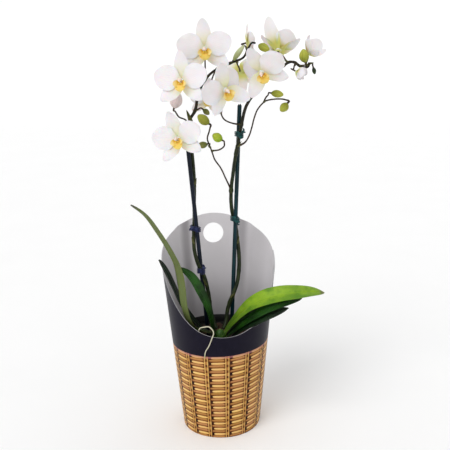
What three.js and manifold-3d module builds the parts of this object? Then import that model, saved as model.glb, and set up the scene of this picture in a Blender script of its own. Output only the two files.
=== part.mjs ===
// A potted moth orchid in its carry sleeve: a small two-spike plant in a black nursery pot of
// bark, dropped into a tapered card sleeve with a tall back panel and a round carry hole.
// Millimetres, +Z up. The front is -Y. The origin is the middle of the pot's flat bottom.
import * as THREE from 'three';
import { mergeVertices } from 'three/addons/utils/BufferGeometryUtils.js';
import Module from 'manifold-3d';

const wasm = await Module();
wasm.setup();

// ---------------------------------------------------------------- driving dimensions
const GAP = 0.3; // left between pieces that touch
const SLIVER = 0.02; // edges shorter than this are merged away where solids join

const SLEEVE = {
  baseRadius: 38.8, // outside, at the bottom edge
  flare: 0.097, // radius gained for each millimetre of height
  wall: 0.6,
  sides: 60,
  rimWaves: [161.4, -47.2, -5.5, 0.4, 1.9], // rim height as cosines of once, twice... the angle
  rimDip: { angle: 43, width: 8, depth: 6.5 }, // where a leaf has pressed the rim down
  turn: 5, // degrees that the front has turned towards +X
  holeRadius: 10.5,
  holeHeight: 184,
};

const POT = {
  height: 96,
  bottomRadius: 33,
  shoulderRadius: 43.4, // just under the rim
  rimRadius: 47.1,
  rimHeight: 9,
  wall: 1.2,
  drainHoles: 6,
  drainRadius: 4,
  drainCircle: 21,
};

const MEDIUM_TOP = 88; // mean height of the bark surface
const MEDIUM_BUMP = 2.2;
const CROWN = { at: [0, -7.5], radius: 6.4, depth: 0.82, bottom: 78, top: 102 };
const STAKE_RADIUS = 2;
const STAKE_BOTTOM = 30;
const STALK_RADII = [0.9, 0.75];
const ROOT_RADII = [0.7, 0.6];
const BOSS_RADIUS = 2.6; // of the green middle that a flower's tepals grow from
const BOSS_DEPTH = 0.75;
const LEAF_HALF_THICKNESS = 0.7;

// ---------------------------------------------------------------- small helpers
const vec = (p) => new THREE.Vector3(...p);
const radians = THREE.MathUtils.degToRad;

function material(colour, roughness, metalness = 0) {
  return new THREE.MeshStandardMaterial({ color: colour, roughness, metalness });
}

const FINISH = {
  card: () => material('#b98a4e', 0.55),
  potPlastic: () => material('#17181a', 0.45),
  bark: () => material('#4a3020', 0.95),
  stem: () => material('#4d5a26', 0.5),
  crown: () => material('#3d5a22', 0.5),
  leaf: (colour) => material(colour, 0.4),
  leftStake: () => material('#0d1f33', 0.4),
  rightStake: () => material('#0a3a3c', 0.4),
  tie: (colour) => material(colour, 0.45),
  petal: () => material('#f3eff0', 0.6),
  lip: () => material('#e0b233', 0.5),
  bud: () => material('#a2b04a', 0.5),
  root: () => material('#d9d3ae', 0.7),
};

// A closed geometry from rings of points: the side between them, and a flat fan on each end.
// Rings run anticlockwise as seen from the last ring looking back.
function loft(rings, closed = false) {
  const sides = rings[0].length;
  const positions = rings.flat().flatMap((p) => [p.x, p.y, p.z]);
  const faces = [];
  const last = closed ? rings.length : rings.length - 1;
  for (let ring = 0; ring < last; ring += 1) {
    const low = ring * sides;
    const high = ((ring + 1) % rings.length) * sides;
    for (let side = 0; side < sides; side += 1) {
      const next = (side + 1) % sides;
      faces.push(low + side, low + next, high + next, low + side, high + next, high + side);
    }
  }
  if (!closed) {
    const end = (rings.length - 1) * sides;
    for (let side = 1; side < sides - 1; side += 1) {
      faces.push(0, side + 1, side, end, end + side, end + side + 1);
    }
  }
  const geometry = new THREE.BufferGeometry();
  geometry.setAttribute('position', new THREE.Float32BufferAttribute(positions, 3));
  geometry.setIndex(faces);
  return geometry;
}

function toSolid(geometry) {
  const plain = geometry.index ? geometry.clone() : geometry;
  plain.deleteAttribute('normal');
  plain.deleteAttribute('uv');
  const merged = mergeVertices(plain, 1e-4);
  return new wasm.Manifold(new wasm.Mesh({
    numProp: 3,
    vertProperties: merged.attributes.position.array,
    triVerts: new Uint32Array(merged.index.array),
  }));
}

function toGeometry(solid) {
  const mesh = solid.getMesh();
  const geometry = new THREE.BufferGeometry();
  geometry.setAttribute('position', new THREE.Float32BufferAttribute(mesh.vertProperties, 3));
  geometry.setIndex(new THREE.BufferAttribute(mesh.triVerts, 1));
  return geometry;
}

// One solid from many that overlap, without the slivers that a near-miss between them leaves.
function join(geometries) {
  const whole = geometries.map(toSolid).reduce((sum, piece) => sum.add(piece));
  return toGeometry(whole.asOriginal().simplify(SLIVER));
}

function cut(geometry, cutters) {
  const whole = toSolid(geometry);
  return toGeometry(cutters.map(toSolid).reduce((rest, tool) => rest.subtract(tool), whole));
}

const group = new THREE.Group();

function place(name, geometry, finish) {
  const mesh = new THREE.Mesh(geometry, finish);
  mesh.name = name;
  mesh.geometry.computeVertexNormals();
  group.add(mesh);
  return mesh;
}

// A round closed rod along a smooth curve through the points, thinning towards its end.
function rod(points, startRadius, endRadius, sides = 6, step = 5) {
  const curve = new THREE.CatmullRomCurve3(points.map(vec), false, 'centripetal');
  const count = Math.max(2, Math.round(curve.getLength() / step));
  const frames = curve.computeFrenetFrames(count);
  const rings = [];
  for (let i = 0; i <= count; i += 1) {
    const centre = curve.getPointAt(i / count);
    const radius = THREE.MathUtils.lerp(startRadius, endRadius, (i / count) ** 2);
    const ring = [];
    for (let side = 0; side < sides; side += 1) {
      const angle = (side / sides) * 2 * Math.PI;
      ring.push(centre.clone()
        .addScaledVector(frames.normals[i], radius * Math.cos(angle))
        .addScaledVector(frames.binormals[i], radius * Math.sin(angle)));
    }
    rings.push(ring);
  }
  return loft(rings);
}

// ---------------------------------------------------------------- carry sleeve
const sleeveRadius = (z) => SLEEVE.baseRadius + SLEEVE.flare * z;

// Height of the rim at an angle from the middle of the front.
function rimHeight(angle) {
  const { rimWaves, rimDip } = SLEEVE;
  const cutLine = rimWaves.reduce((sum, wave, times) => sum + wave * Math.cos(times * angle), 0);
  const away = (angle - radians(rimDip.angle)) / radians(rimDip.width);
  return cutLine - rimDip.depth * Math.exp(-away * away);
}

function onSleeve(angle, z, inset = 0) {
  const radius = sleeveRadius(z) - inset;
  const turned = angle + radians(SLEEVE.turn);
  return new THREE.Vector3(radius * Math.sin(turned), -radius * Math.cos(turned), z);
}

function carrySleeve() {
  const rings = [];
  for (let i = 0; i < SLEEVE.sides; i += 1) {
    const angle = (i / SLEEVE.sides) * 2 * Math.PI;
    const top = rimHeight(angle);
    rings.push([
      onSleeve(angle, 0),
      onSleeve(angle, top),
      onSleeve(angle, top, SLEEVE.wall),
      onSleeve(angle, 0, SLEEVE.wall),
    ].reverse());
  }
  const hole = new THREE.CylinderGeometry(SLEEVE.holeRadius, SLEEVE.holeRadius, 20, 20);
  const middle = onSleeve(Math.PI, SLEEVE.holeHeight);
  hole.rotateZ(radians(SLEEVE.turn));
  hole.translate(middle.x, middle.y, middle.z);
  return cut(loft(rings, true), [hole]);
}

// ---------------------------------------------------------------- nursery pot and bark
function nurseryPot() {
  const { height, bottomRadius, shoulderRadius, rimRadius, rimHeight: lip, wall } = POT;
  const shoulder = height - lip;
  const profile = [
    [0, 0],
    [bottomRadius, 0],
    [shoulderRadius, shoulder],
    [rimRadius - 1, shoulder + 1],
    [rimRadius, height],
    [rimRadius - wall, height],
    [shoulderRadius + 0.8, shoulder + 2],
    [shoulderRadius - wall, shoulder],
    [bottomRadius - wall, wall],
    [0, wall],
  ].map(([r, z]) => new THREE.Vector2(r, z));
  const body = new THREE.LatheGeometry(profile, 30).rotateX(Math.PI / 2);
  const drains = [];
  for (let i = 0; i < POT.drainHoles; i += 1) {
    const angle = (i / POT.drainHoles) * 2 * Math.PI;
    const drain = new THREE.CylinderGeometry(POT.drainRadius, POT.drainRadius, 6, 8).rotateX(Math.PI / 2);
    drain.translate(POT.drainCircle * Math.cos(angle), POT.drainCircle * Math.sin(angle), 0);
    drains.push(drain);
  }
  return cut(body, drains);
}

// The bark fills the pot up to a lumpy top, with clearance round what stands in it.
function barkMedium(standing) {
  const sides = 24;
  const slope = (POT.shoulderRadius - POT.bottomRadius) / (POT.height - POT.rimHeight);
  const inner = (z) => POT.bottomRadius + slope * z - POT.wall - GAP - 0.1;
  const lump = (angle, r) => MEDIUM_BUMP * Math.sin(5 * angle + r * 0.21) * Math.cos(3 * angle - r * 0.33);
  const floor = POT.wall + GAP;
  const edge = POT.height - POT.rimHeight - 1;
  const levels = [
    [0.2, floor, 0],
    [inner(floor), floor, 0],
    [inner(edge), edge, 0],
    [34, MEDIUM_TOP, 1],
    [24, MEDIUM_TOP, 1],
    [12, MEDIUM_TOP + 1, 1],
    [0.2, MEDIUM_TOP + 1, 0],
  ];
  const rings = levels.map(([radius, z, bumpy]) => {
    const ring = [];
    for (let i = 0; i < sides; i += 1) {
      const angle = (i / sides) * 2 * Math.PI;
      const height = z + bumpy * lump(angle, radius);
      ring.push(new THREE.Vector3(radius * Math.cos(angle), radius * Math.sin(angle), height));
    }
    return ring;
  });
  return cut(loft(rings), standing);
}

// ---------------------------------------------------------------- stakes
// Straight rods. Each is given by its top and by where it passes the rim of the pot.
const STAKES = {
  stake_left: { top: [-27.6, -2.7, 299], rim: [-13.3, 8, 107.8], finish: FINISH.leftStake },
  stake_right: { top: [22.5, -1, 323], rim: [12.5, 9, 106.8], finish: FINISH.rightStake },
};

// The stake's line carried down to its foot in the bark.
function stakeFoot({ top, rim }) {
  const down = (STAKE_BOTTOM - rim[2]) / (top[2] - rim[2]);
  return rim.map((value, axis) => value + (top[axis] - value) * down);
}

const stakeRod = (stake, extra = 0) => rod([stakeFoot(stake), stake.top],
  STAKE_RADIUS + extra, STAKE_RADIUS + extra, 8, 400);

// ---------------------------------------------------------------- flower spikes
// Each spike is a main stem with side branches and flower stalks grown from it. A branch is a
// list of points from inside the main stem outwards, and stalks end just behind their flower.
const LEFT_SPIKE = {
  radius: [1.9, 0.9],
  main: [
    [-3.3, -3.5, 101.1], [-4.4, -2, 103], [-6.4, 1.2, 108.6], [-8.5, 3, 117.3],
    [-10.6, 3, 136.5], [-14.1, 1.4, 153.8],
    [-17.1, 0.8, 160.3], [-20.6, 1, 169.6], [-23.3, 2, 181.8], [-23.6, 4, 191.5], [-23.3, 6, 203],
    [-22.6, 6.6, 213], [-22.3, 5.6, 226], [-21.6, 4.6, 241], [-21.7, 2.3, 261], [-22.9, 0.6, 281],
    [-23.5, -1.6, 295], [-24, -4, 308.4], [-18.4, -5, 318.5], [-15.8, -3, 332], [-11.5, 2, 341],
    [-5, 7, 349], [4, 10, 355], [16, 12, 359.5], [27, 13, 364], [31, 14, 371], [35, 14, 377],
    [38, 12, 376.6],
  ],
  branches: [
    { to: 'bud_pale', points: [[-23.7, -4, 305], [-28, -6, 310], [-33.4, -9, 312.9], [-37, -12, 318.8]] },
    { to: 'flower_2', points: [[-16, -3.5, 329], [-18.5, -8, 333], [-23, -18, 339]] },
    { to: 'flower_3', points: [[-23, -2, 291], [-26, -7, 295], [-30, -16, 297]] },
    { to: 'bud_small_left', points: [[-18.6, -5, 318], [-15, -5.4, 319.6]] },
    { to: 'flower_1', points: [[-9, 4, 344.5], [-8.5, 0, 352], [-8.4, -8, 365]] },
    { to: 'flower_10', points: [[4, 10, 355], [1.5, 16, 353], [-3, 20.5, 343]] },
    { to: 'flower_5', points: [[20, 12.4, 361], [21.5, 13, 357.5]] },
    { to: 'bud_slender', points: [[15, 11.9, 359.2], [16.4, 11.6, 360.2]] },
    { to: 'flower_11', points: [[31, 14, 371], [30, 18, 373], [28, 25, 374.5]] },
  ],
};

const RIGHT_SPIKE = {
  radius: [2, 1],
  main: [
    [3.65, -3.85, 101.1], [4.7, -2.6, 103], [6.8, 1, 109], [8, 3.4, 117.8],
    [11.2, 3.8, 128.3], [13.6, 3.2, 134],
    [17.9, 5, 145.3], [19.8, 7.3, 156.3], [20.5, 8.4, 166.6], [20, 9, 179], [19, 9.4, 189],
    [18.1, 9.8, 199], [17, 9.4, 207.2], [14.4, 7.6, 217], [13.3, 4.8, 230.5], [13.7, 2.6, 243],
    [15.3, 0.2, 256], [17.3, -2.4, 270.7], [19.3, -3.4, 280.3], [21, -3.8, 289], [22.8, -4, 299],
    [24.6, -3.8, 307.3], [26.3, -3.4, 314.6], [29, -3, 322], [36, -3, 332.5], [42, -1, 339],
    [50, 1, 345.5], [62, 1, 355], [68, 0, 359.7], [73.5, 0, 359.2], [77.1, 0, 356.5],
    [81.6, 1, 354.7], [85.4, 2, 355.3], [87, 3, 358.6],
  ],
  branches: [
    {
      to: 'bud_left_top',
      points: [
        [13.6, 3, 241], [8.7, 0, 252.2], [4.2, -3, 263], [-1.6, -6, 272.4], [-3.7, -7.5, 279],
        [-5.2, -8.5, 283.6], [-7.4, -10, 289.9], [-7.9, -11, 293.4], [-6.2, -12, 299],
        [-4.9, -12, 303.6],
      ],
    },
    { to: 'bud_left_low', points: [[-5.1, -8.2, 284], [-6, -8.4, 285.6]] },
    {
      to: 'bud_left_bright',
      points: [[-4.2, -7.9, 280.8], [3.1, -8, 281.8], [7.5, -8, 285.1], [7.6, -8, 288.6]],
    },
    {
      to: 'flower_4',
      points: [[23.7, -3.9, 304], [15.1, -6, 305.9], [8.6, -9, 309.3], [5.4, -14, 315], [5, -22, 326]],
    },
    {
      to: 'bud_right_low',
      points: [
        [20.2, -3.6, 284], [26.6, -5, 287.4], [30.6, -7, 293.8], [32.8, -8, 300.4],
        [35.3, -9, 310.1], [38, -10, 317.5], [41.7, -10, 322.5], [46, -10, 326],
        [50.8, -10, 327.2], [56.3, -9, 327.5], [61.9, -8.5, 327.2], [65.4, -8, 326.2],
      ],
    },
    { to: 'bud_right_top', points: [[44, -10, 324.6], [46, -10, 329], [48.4, -10, 331.8]] },
    { to: 'flower_6', points: [[42, -1, 339], [43, -3, 344], [42.8, -9, 349.5]] },
    { to: 'flower_7', points: [[67.4, 0, 359.3], [65.4, 1.4, 361.2], [62.6, 3.2, 365]] },
    { to: 'flower_9', points: [[73.5, 0, 359.2], [72.5, -2.4, 356], [71.5, -4.5, 353.5]] },
    { to: 'bud_end', points: [[77.3, 0, 356.4], [80, -0.5, 356.6]] },
    { to: 'bud_tip', points: [[86.8, 3, 358], [89, 3.4, 358.4], [90.2, 2.6, 357]] },
    { to: 'flower_8', points: [[84.9, 1.9, 355.2], [84.2, 3.2, 358.4], [85.6, 4, 362]] },
  ],
};

// ---------------------------------------------------------------- flowers
// at is the middle of the flower, where the five tepals meet. A flower with no heading and no
// pitch faces the front squarely, heading turns it towards +X and pitch tips it upwards. Roll
// then turns it clockwise as its viewer sees it. closed bends the tepals forwards, and odd lists
// the tepals that lean or grow unlike the others, by an angle forwards and in length.
const FLOWERS = {
  flower_1: { at: [-8.4, -24, 373.6], heading: 0, pitch: 0, roll: -4, size: 1, closed: 0.12 },
  flower_2: { at: [-28.5, -36, 347.2], heading: -16, pitch: 8, roll: -2, size: 1, closed: 0.15 },
  flower_3: { at: [-33.6, -28, 295.6], heading: -18, pitch: 4, roll: -16, size: 0.98, closed: 0.15 },
  flower_4: {
    at: [8.7, -38, 339.2], heading: 24, pitch: -10, roll: -20, size: 1, closed: 0.25,
    odd: [{ turn: 74, rise: -0.8, stretch: 1 }],
  },
  flower_5: { at: [23.9, 20, 350.3], heading: 172, pitch: -35, roll: -171, size: 0.9, closed: 0.1 },
  flower_6: {
    at: [42.2, -19, 352.5], heading: -8, pitch: -18, roll: -28, size: 1, closed: 0.15,
    odd: [{ turn: -74, rise: -0.9, stretch: 1 }],
  },
  flower_7: {
    at: [59.4, 12, 370], heading: 166, pitch: 42, roll: 28, size: 1.05, closed: 0.9,
    odd: [{ turn: 0, rise: 0, stretch: 1.2 }, { turn: -74, rise: 0, stretch: 0.78 }],
  },
  flower_8: { at: [86.5, 6, 366.5], heading: 60, pitch: 45, roll: 0, size: 0.68, closed: 1 },
  flower_9: { at: [73.5, -8, 352], heading: 70, pitch: -25, roll: 0, size: 0.45, closed: 1.2 },
  flower_10: { at: [-6.5, 13, 326.5], heading: -4, pitch: 4, roll: 6, size: 0.75, closed: 0.1 },
  flower_11: { at: [31, 30, 376.5], heading: 100, pitch: 12, roll: 0, size: 0.68, closed: 0.3 },
};

const TEPALS = [
  { turn: 0, length: 26.5, width: 13.5, layer: -0.7, waist: 0 },
  { turn: 130, length: 25, width: 14, layer: -0.9, waist: 0.05 },
  { turn: -130, length: 25, width: 14, layer: -0.9, waist: 0.05 },
  { turn: 74, length: 25, width: 22, layer: 0.5, waist: -0.15 },
  { turn: -74, length: 25, width: 22, layer: 0.5, waist: -0.15 },
];

const LIP_LOBES = [
  { turn: 180, from: [0, -2, 3.6], length: 8.5, width: 5.5, rise: 0.55, bend: -0.6, cup: 0.2 },
  { turn: 115, from: [1.2, -2, 3.8], length: 5, width: 4.6, rise: 0.8, bend: 0.5, cup: 0.2 },
  { turn: -115, from: [-1.2, -2, 3.8], length: 5, width: 4.6, rise: 0.8, bend: 0.5, cup: 0.2 },
];

// The flower's own frame: x to its viewer's right, y up its back tepal, z out of its face.
function flowerFrame({ at, heading, pitch, roll }) {
  const [h, p, r] = [heading, pitch, roll].map(radians);
  const face = new THREE.Vector3(Math.sin(h) * Math.cos(p), -Math.cos(h) * Math.cos(p), Math.sin(p));
  const level = new THREE.Vector3(-Math.sin(h) * Math.sin(p), Math.cos(h) * Math.sin(p), Math.cos(p));
  const across = new THREE.Vector3().crossVectors(level, face);
  const up = level.clone().multiplyScalar(Math.cos(r)).addScaledVector(across, Math.sin(r));
  const right = across.multiplyScalar(Math.cos(r)).addScaledVector(level, -Math.sin(r));
  return new THREE.Matrix4().makeBasis(right, up, face).setPosition(...at);
}

// One thin blade in the flower's frame: a tepal or a lobe of the lip. It leaves at the angle
// rise above the flower's plane and turns by bend as it goes out. Its edges stand up by cup.
function blade(shape) {
  const { turn, length, width, waist = 0.2, from = [0, 0, 0], layer = 0, rise, bend, cup, stations } = shape;
  const angle = radians(turn);
  return loft(stations.map((u) => {
    const along = (length * (Math.sin(rise + bend * u) - Math.sin(rise))) / bend;
    const lift = layer + (length * (Math.cos(rise) - Math.cos(rise + bend * u))) / bend;
    const swell = Math.sin(Math.PI * (0.05 + 0.95 * u ** (1 - waist))) ** 0.55;
    const half = Math.max(0.35, (width / 2) * swell);
    const thick = 0.5 - 0.25 * u;
    return [[-1, 0], [0, 1], [1, 0], [0, -1]].map(([s, side]) => new THREE.Vector3(
      from[0] + along * Math.sin(angle) + s * half * Math.cos(angle),
      from[1] + along * Math.cos(angle) - s * half * Math.sin(angle),
      from[2] + lift + side * thick + cup * half * s * s,
    ));
  }));
}

function flowerTepals({ size, closed, odd = [] }) {
  const boss = new THREE.SphereGeometry(BOSS_RADIUS, 6, 4).scale(1, 1, BOSS_DEPTH);
  const stations = [0.04, 0.3, 0.65, 0.92, 1];
  const tepals = TEPALS.map((tepal) => {
    const own = odd.find(({ turn }) => turn === tepal.turn) ?? { rise: 0, stretch: 1 };
    const length = tepal.length * own.stretch;
    const rise = closed * 0.5 + own.rise;
    return blade({ ...tepal, length, rise, bend: 0.01 + closed * 0.6, cup: 0.06, stations });
  });
  return join([boss, ...tepals]).scale(size, size, size);
}

function flowerLip({ size, closed }) {
  const column = rod([[0, -1.2, 2.4], [0, 0.4, 7.6]], 2, 1.7, 6, 4);
  const lobes = LIP_LOBES.map((lobe) => blade({ ...lobe, stations: [0.04, 0.45, 0.85, 1] }));
  const shrunk = size * (1 - 0.25 * closed);
  return join([column, ...lobes]).scale(shrunk, shrunk, size);
}

// ---------------------------------------------------------------- buds
// Each is an egg from the end of its stalk to its tip.
const BUDS = {
  bud_pale: { base: [-37.3, -13.6, 321.6], tip: [-33, -11.5, 335], width: 11 },
  bud_small_left: { base: [-11.2, -5.2, 318.8], tip: [-5.6, -4.4, 314.4], width: 5 },
  bud_slender: { base: [17.4, 11.4, 361.4], tip: [27.4, 10.5, 375.3], width: 5 },
  bud_left_top: { base: [-6.2, -12, 306.6], tip: [-16, -14, 314.5], width: 8.5 },
  bud_left_low: { base: [-8.1, -9, 287.4], tip: [-17, -12, 286.3], width: 6 },
  bud_left_bright: { base: [5.6, -8, 290.6], tip: [-3, -9, 296], width: 8 },
  bud_right_top: { base: [51, -10, 333], tip: [62, -10, 331.6], width: 6.5 },
  bud_right_low: { base: [66, -8, 323.4], tip: [60, -8, 316], width: 7.5 },
  bud_top: { base: [40.8, 8.6, 375], tip: [50.4, 3.5, 370.6], width: 7.2 },
  bud_end: { base: [82.4, -1.6, 359.4], tip: [80, -5, 371], width: 8.5 },
  bud_tip: { base: [90.4, 1.7, 354.4], tip: [92, 1, 348.4], width: 3.6 },
};

function bud({ base, tip, width }) {
  const start = vec(base);
  const axis = vec(tip).sub(start);
  const length = axis.length();
  axis.normalize();
  const side = new THREE.Vector3(0, 1, 0).cross(axis).normalize();
  const other = new THREE.Vector3().crossVectors(axis, side);
  const rings = [0, 0.12, 0.35, 0.62, 0.87, 1].map((u) => {
    const radius = Math.max(0.5, (width / 2) * Math.sin(Math.PI * (0.04 + 0.9 * u ** 0.9)) ** 0.75);
    const ring = [];
    for (let i = 0; i < 7; i += 1) {
      const angle = (i / 7) * 2 * Math.PI;
      ring.push(start.clone().addScaledVector(axis, u * length)
        .addScaledVector(side, radius * Math.cos(angle))
        .addScaledVector(other, radius * Math.sin(angle)));
    }
    return ring;
  });
  return loft(rings);
}

// Where a stalk ends: two points that run straight into the back of a flower or a bud.
function stalkEnd(name) {
  if (BUDS[name]) {
    const base = vec(BUDS[name].base);
    const out = base.clone().sub(vec(BUDS[name].tip)).normalize();
    return [2.5, GAP].map((away) => base.clone().addScaledVector(out, away).toArray());
  }
  const frame = flowerFrame(FLOWERS[name]);
  const back = BOSS_RADIUS * BOSS_DEPTH * FLOWERS[name].size + GAP;
  return [-back - 4, -back].map((z) => new THREE.Vector3(0, 0, z).applyMatrix4(frame).toArray());
}

function spike({ main, radius, branches }) {
  const stalks = branches.map(({ to, points }) => rod([...points, ...stalkEnd(to)], ...STALK_RADII, 5, 5.5));
  return join([rod(main, ...radius, 6, 8.5), ...stalks]);
}

// ---------------------------------------------------------------- leaves
// spine runs from the crown to the tip, face is the way that the upper side looks at each end,
// and fold is how steeply the two halves rise from the midrib.
const LEAVES = {
  leaf_left_tall: {
    spine: [
      [-7.2, -9.6, 98.5], [-19, -20, 106], [-30, -29, 119], [-35.3, -31, 137], [-37, -30.5, 155],
      [-40, -30, 174.5], [-47.5, -29, 192.5], [-57.3, -27, 209.4], [-68, -25, 225], [-80, -22, 234.3],
    ],
    face: [[0.7, 0.35, 0.6], [0.45, 0.5, 0.75]],
    width: 15,
    fold: 0.3,
    colour: '#6f7d3e',
  },
  leaf_left_small: {
    spine: [
      [-5.8, -11.6, 102], [-8, -13.5, 109], [-11.5, -16, 127], [-19.3, -18, 146.6], [-27.6, -18, 161],
      [-38, -16, 170],
    ],
    face: [[0.75, -0.6, 0.3], [0.6, -0.5, 0.6]],
    width: 12,
    fold: 0.4,
    colour: '#2c6a16',
  },
  leaf_left_low: {
    spine: [
      [-7.4, -5, 94.5], [-19, -7, 104], [-28.5, -11, 116], [-37, -15.5, 131], [-43.5, -19.5, 149],
      [-49.5, -22, 166], [-56, -24, 181],
    ],
    face: [[0.5, -0.1, 0.85], [0.75, -0.3, 0.6]],
    width: 14,
    fold: 0.3,
    colour: '#16310f',
  },
  leaf_right_top: {
    spine: [
      [6.6, -9.5, 101.5], [17.5, -17, 118.5], [29.4, -24, 132.5], [42.5, -30, 141.5], [57.4, -33, 146.5],
      [72.4, -34, 148.5], [87.6, -33, 148.8], [99.5, -31, 147],
    ],
    face: [[-0.6, -0.45, 0.7], [0, -0.4, 0.94]],
    width: 20,
    fold: 0.2,
    colour: '#5d9422',
  },
  leaf_right_mid: {
    spine: [
      [7.6, -8.2, 95.5], [14.5, -14, 105], [25.8, -23.5, 119], [38.6, -31.5, 130.5], [52, -36.5, 138.5],
      [64.9, -37.2, 142.2], [77.9, -36, 144.1],
    ],
    face: [[-0.55, -0.4, 0.73], [-0.05, -0.4, 0.9]],
    width: 19,
    fold: 0.15,
    colour: '#1d4713',
  },
  leaf_right_low: {
    spine: [
      [8, -8.2, 90.5], [15.5, -16, 100.5], [25, -26.6, 113], [34.5, -35.2, 122], [44, -40, 128.4],
      [54, -42.6, 133.2], [64.5, -43.6, 137.4],
    ],
    face: [[-0.5, -0.4, 0.76], [-0.1, -0.4, 0.9]],
    width: 14,
    fold: 0.12,
    colour: '#183d12',
  },
};

// Across a leaf: how far out each point is, and whether it is on the upper or the under side.
const LEAF_SECTION = [[-1, 0], [-0.5, 1], [0, 1], [0.5, 1], [1, 0], [0.5, -1], [0, -1], [-0.5, -1]];

// How much of its full width a leaf has along its length: half at the base, a blunt tip.
function leafSpread(u) {
  return u < 0.55 ? 1 - 0.55 * (1 - u / 0.55) ** 2 : (1 - ((u - 0.55) / 0.46) ** 2.4) ** 0.7;
}

function leaf({ spine, face, width, fold }) {
  const curve = new THREE.CatmullRomCurve3(spine.map(vec), false, 'centripetal');
  const [baseFace, tipFace] = face.map(vec);
  const stations = 11;
  const rings = [];
  for (let i = 0; i <= stations; i += 1) {
    const u = i / stations;
    const centre = curve.getPointAt(u);
    const ahead = curve.getTangentAt(u);
    const side = new THREE.Vector3().crossVectors(ahead, baseFace.clone().lerp(tipFace, u)).normalize();
    const upper = new THREE.Vector3().crossVectors(side, ahead);
    const half = (width / 2) * leafSpread(u);
    rings.push(LEAF_SECTION.map(([s, way]) => centre.clone()
      .addScaledVector(side, s * half)
      .addScaledVector(upper, fold * half * Math.abs(s) ** 1.5 + way * LEAF_HALF_THICKNESS)));
  }
  return loft(rings);
}

// ---------------------------------------------------------------- ties, crown and air root
// Each tie is a band wound round a stake and its spike, with a twisted tail.
const TIES = {
  tie_left_low: {
    stake: STAKES.stake_left, spike: LEFT_SPIKE, height: 160.5, tail: [2, -5, 6], colour: '#27335a',
  },
  tie_left_high: {
    stake: STAKES.stake_left, spike: LEFT_SPIKE, height: 203, tail: [4, -4, -3], colour: '#27335a',
  },
  tie_right_low: {
    stake: STAKES.stake_right, spike: RIGHT_SPIKE, height: 211.5, tail: [6, -3, -6], colour: '#0a4a44',
  },
  tie_right_high: {
    stake: STAKES.stake_right, spike: RIGHT_SPIKE, height: 294.8, tail: [5, -4, 4], colour: '#0a4a44',
  },
};
const TIE = { thickness: 1.2, height: 3.6, slack: 0.75 };

function pointAtHeight(curve, height) {
  let low = 0;
  let high = 1;
  for (let i = 0; i < 30; i += 1) {
    const middle = (low + high) / 2;
    if (curve.getPoint(middle).z < height) low = middle;
    else high = middle;
  }
  return curve.getPoint(low);
}

function tie({ stake, spike: stem, height, tail }) {
  const reach = STAKE_RADIUS + GAP + TIE.thickness / 2 + TIE.slack;
  const stakeLine = new THREE.CatmullRomCurve3([vec(stake.rim), vec(stake.top)]);
  const stemCurve = new THREE.CatmullRomCurve3(stem.main.map(vec), false, 'centripetal');
  const stakePoint = pointAtHeight(stakeLine, height);
  const stemPoint = pointAtHeight(stemCurve, height);
  const apart = stemPoint.clone().sub(stakePoint).setZ(0).normalize();
  const beside = new THREE.Vector3(-apart.y, apart.x, 0);
  const sides = 16;
  const rings = [];
  for (let i = 0; i < sides; i += 1) {
    const angle = ((i + 0.5) / sides) * 2 * Math.PI;
    const centre = Math.cos(angle) > 0 ? stemPoint : stakePoint;
    const out = apart.clone().multiplyScalar(Math.cos(angle)).addScaledVector(beside, Math.sin(angle));
    const section = [[-1, 1], [1, 0.7], [1, -0.7], [-1, -1]];
    rings.push(section.map(([across, up]) => new THREE.Vector3(centre.x, centre.y, height)
      .addScaledVector(out, reach + (across * TIE.thickness) / 2)
      .add(new THREE.Vector3(0, 0, (up * TIE.height) / 2))));
  }
  const front = stemPoint.lerp(stakePoint, 0.5);
  const knot = [front.x + 0.5, front.y - reach - 2.2, height];
  const end = knot.map((value, axis) => value + tail[axis]);
  return join([loft(rings, true), rod([[knot[0], knot[1] + 1.4, knot[2]], knot, end], 1.1, 0.7, 6, 3)]);
}

function crown() {
  const { at, radius, depth, bottom, top } = CROWN;
  const profile = [
    [0, bottom],
    [radius - 1.5, bottom],
    [radius, bottom + 8],
    [radius, top - 3],
    [radius - 2.5, top],
    [0, top],
  ].map(([r, z]) => new THREE.Vector2(r, z));
  return new THREE.LatheGeometry(profile, 12).rotateX(Math.PI / 2).scale(1, depth, 1)
    .translate(at[0], at[1], 0);
}

const AIR_ROOT = [
  [-6, -13, 94], [-13.5, -27, 97], [-19.5, -37, 102], [-20.3, -41.5, 110], [-19.8, -43.4, 116.5],
  [-18.2, -47, 120.6], [-15, -50, 122.6], [-10, -52, 123.6], [-6, -53.5, 119], [-8, -52.2, 111],
  [-11, -50.6, 103], [-14, -49, 97], [-15, -48.2, 90],
];

// ---------------------------------------------------------------- assembly
place('carry_sleeve', carrySleeve(), FINISH.card());
place('nursery_pot', nurseryPot(), FINISH.potPlastic());

const crownHole = new THREE.CylinderGeometry(CROWN.radius + GAP, CROWN.radius + GAP, 40, 12)
  .rotateX(Math.PI / 2)
  .rotateZ(Math.PI / 2)
  .scale(1, CROWN.depth, 1)
  .translate(CROWN.at[0], CROWN.at[1], CROWN.bottom - GAP + 20);
const stakeHoles = Object.values(STAKES).map((stake) => stakeRod(stake, GAP));
place('bark_medium', barkMedium([crownHole, ...stakeHoles]), FINISH.bark());

for (const [name, stake] of Object.entries(STAKES)) place(name, stakeRod(stake), stake.finish());
place('crown', crown(), FINISH.crown());
for (const [name, shape] of Object.entries(LEAVES)) place(name, leaf(shape), FINISH.leaf(shape.colour));
place('spike_left', spike(LEFT_SPIKE), FINISH.stem());
place('spike_right', spike(RIGHT_SPIKE), FINISH.stem());
for (const [name, shape] of Object.entries(TIES)) place(name, tie(shape), FINISH.tie(shape.colour));
place('air_root', rod(AIR_ROOT, ...ROOT_RADII, 5, 5), FINISH.root());

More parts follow.
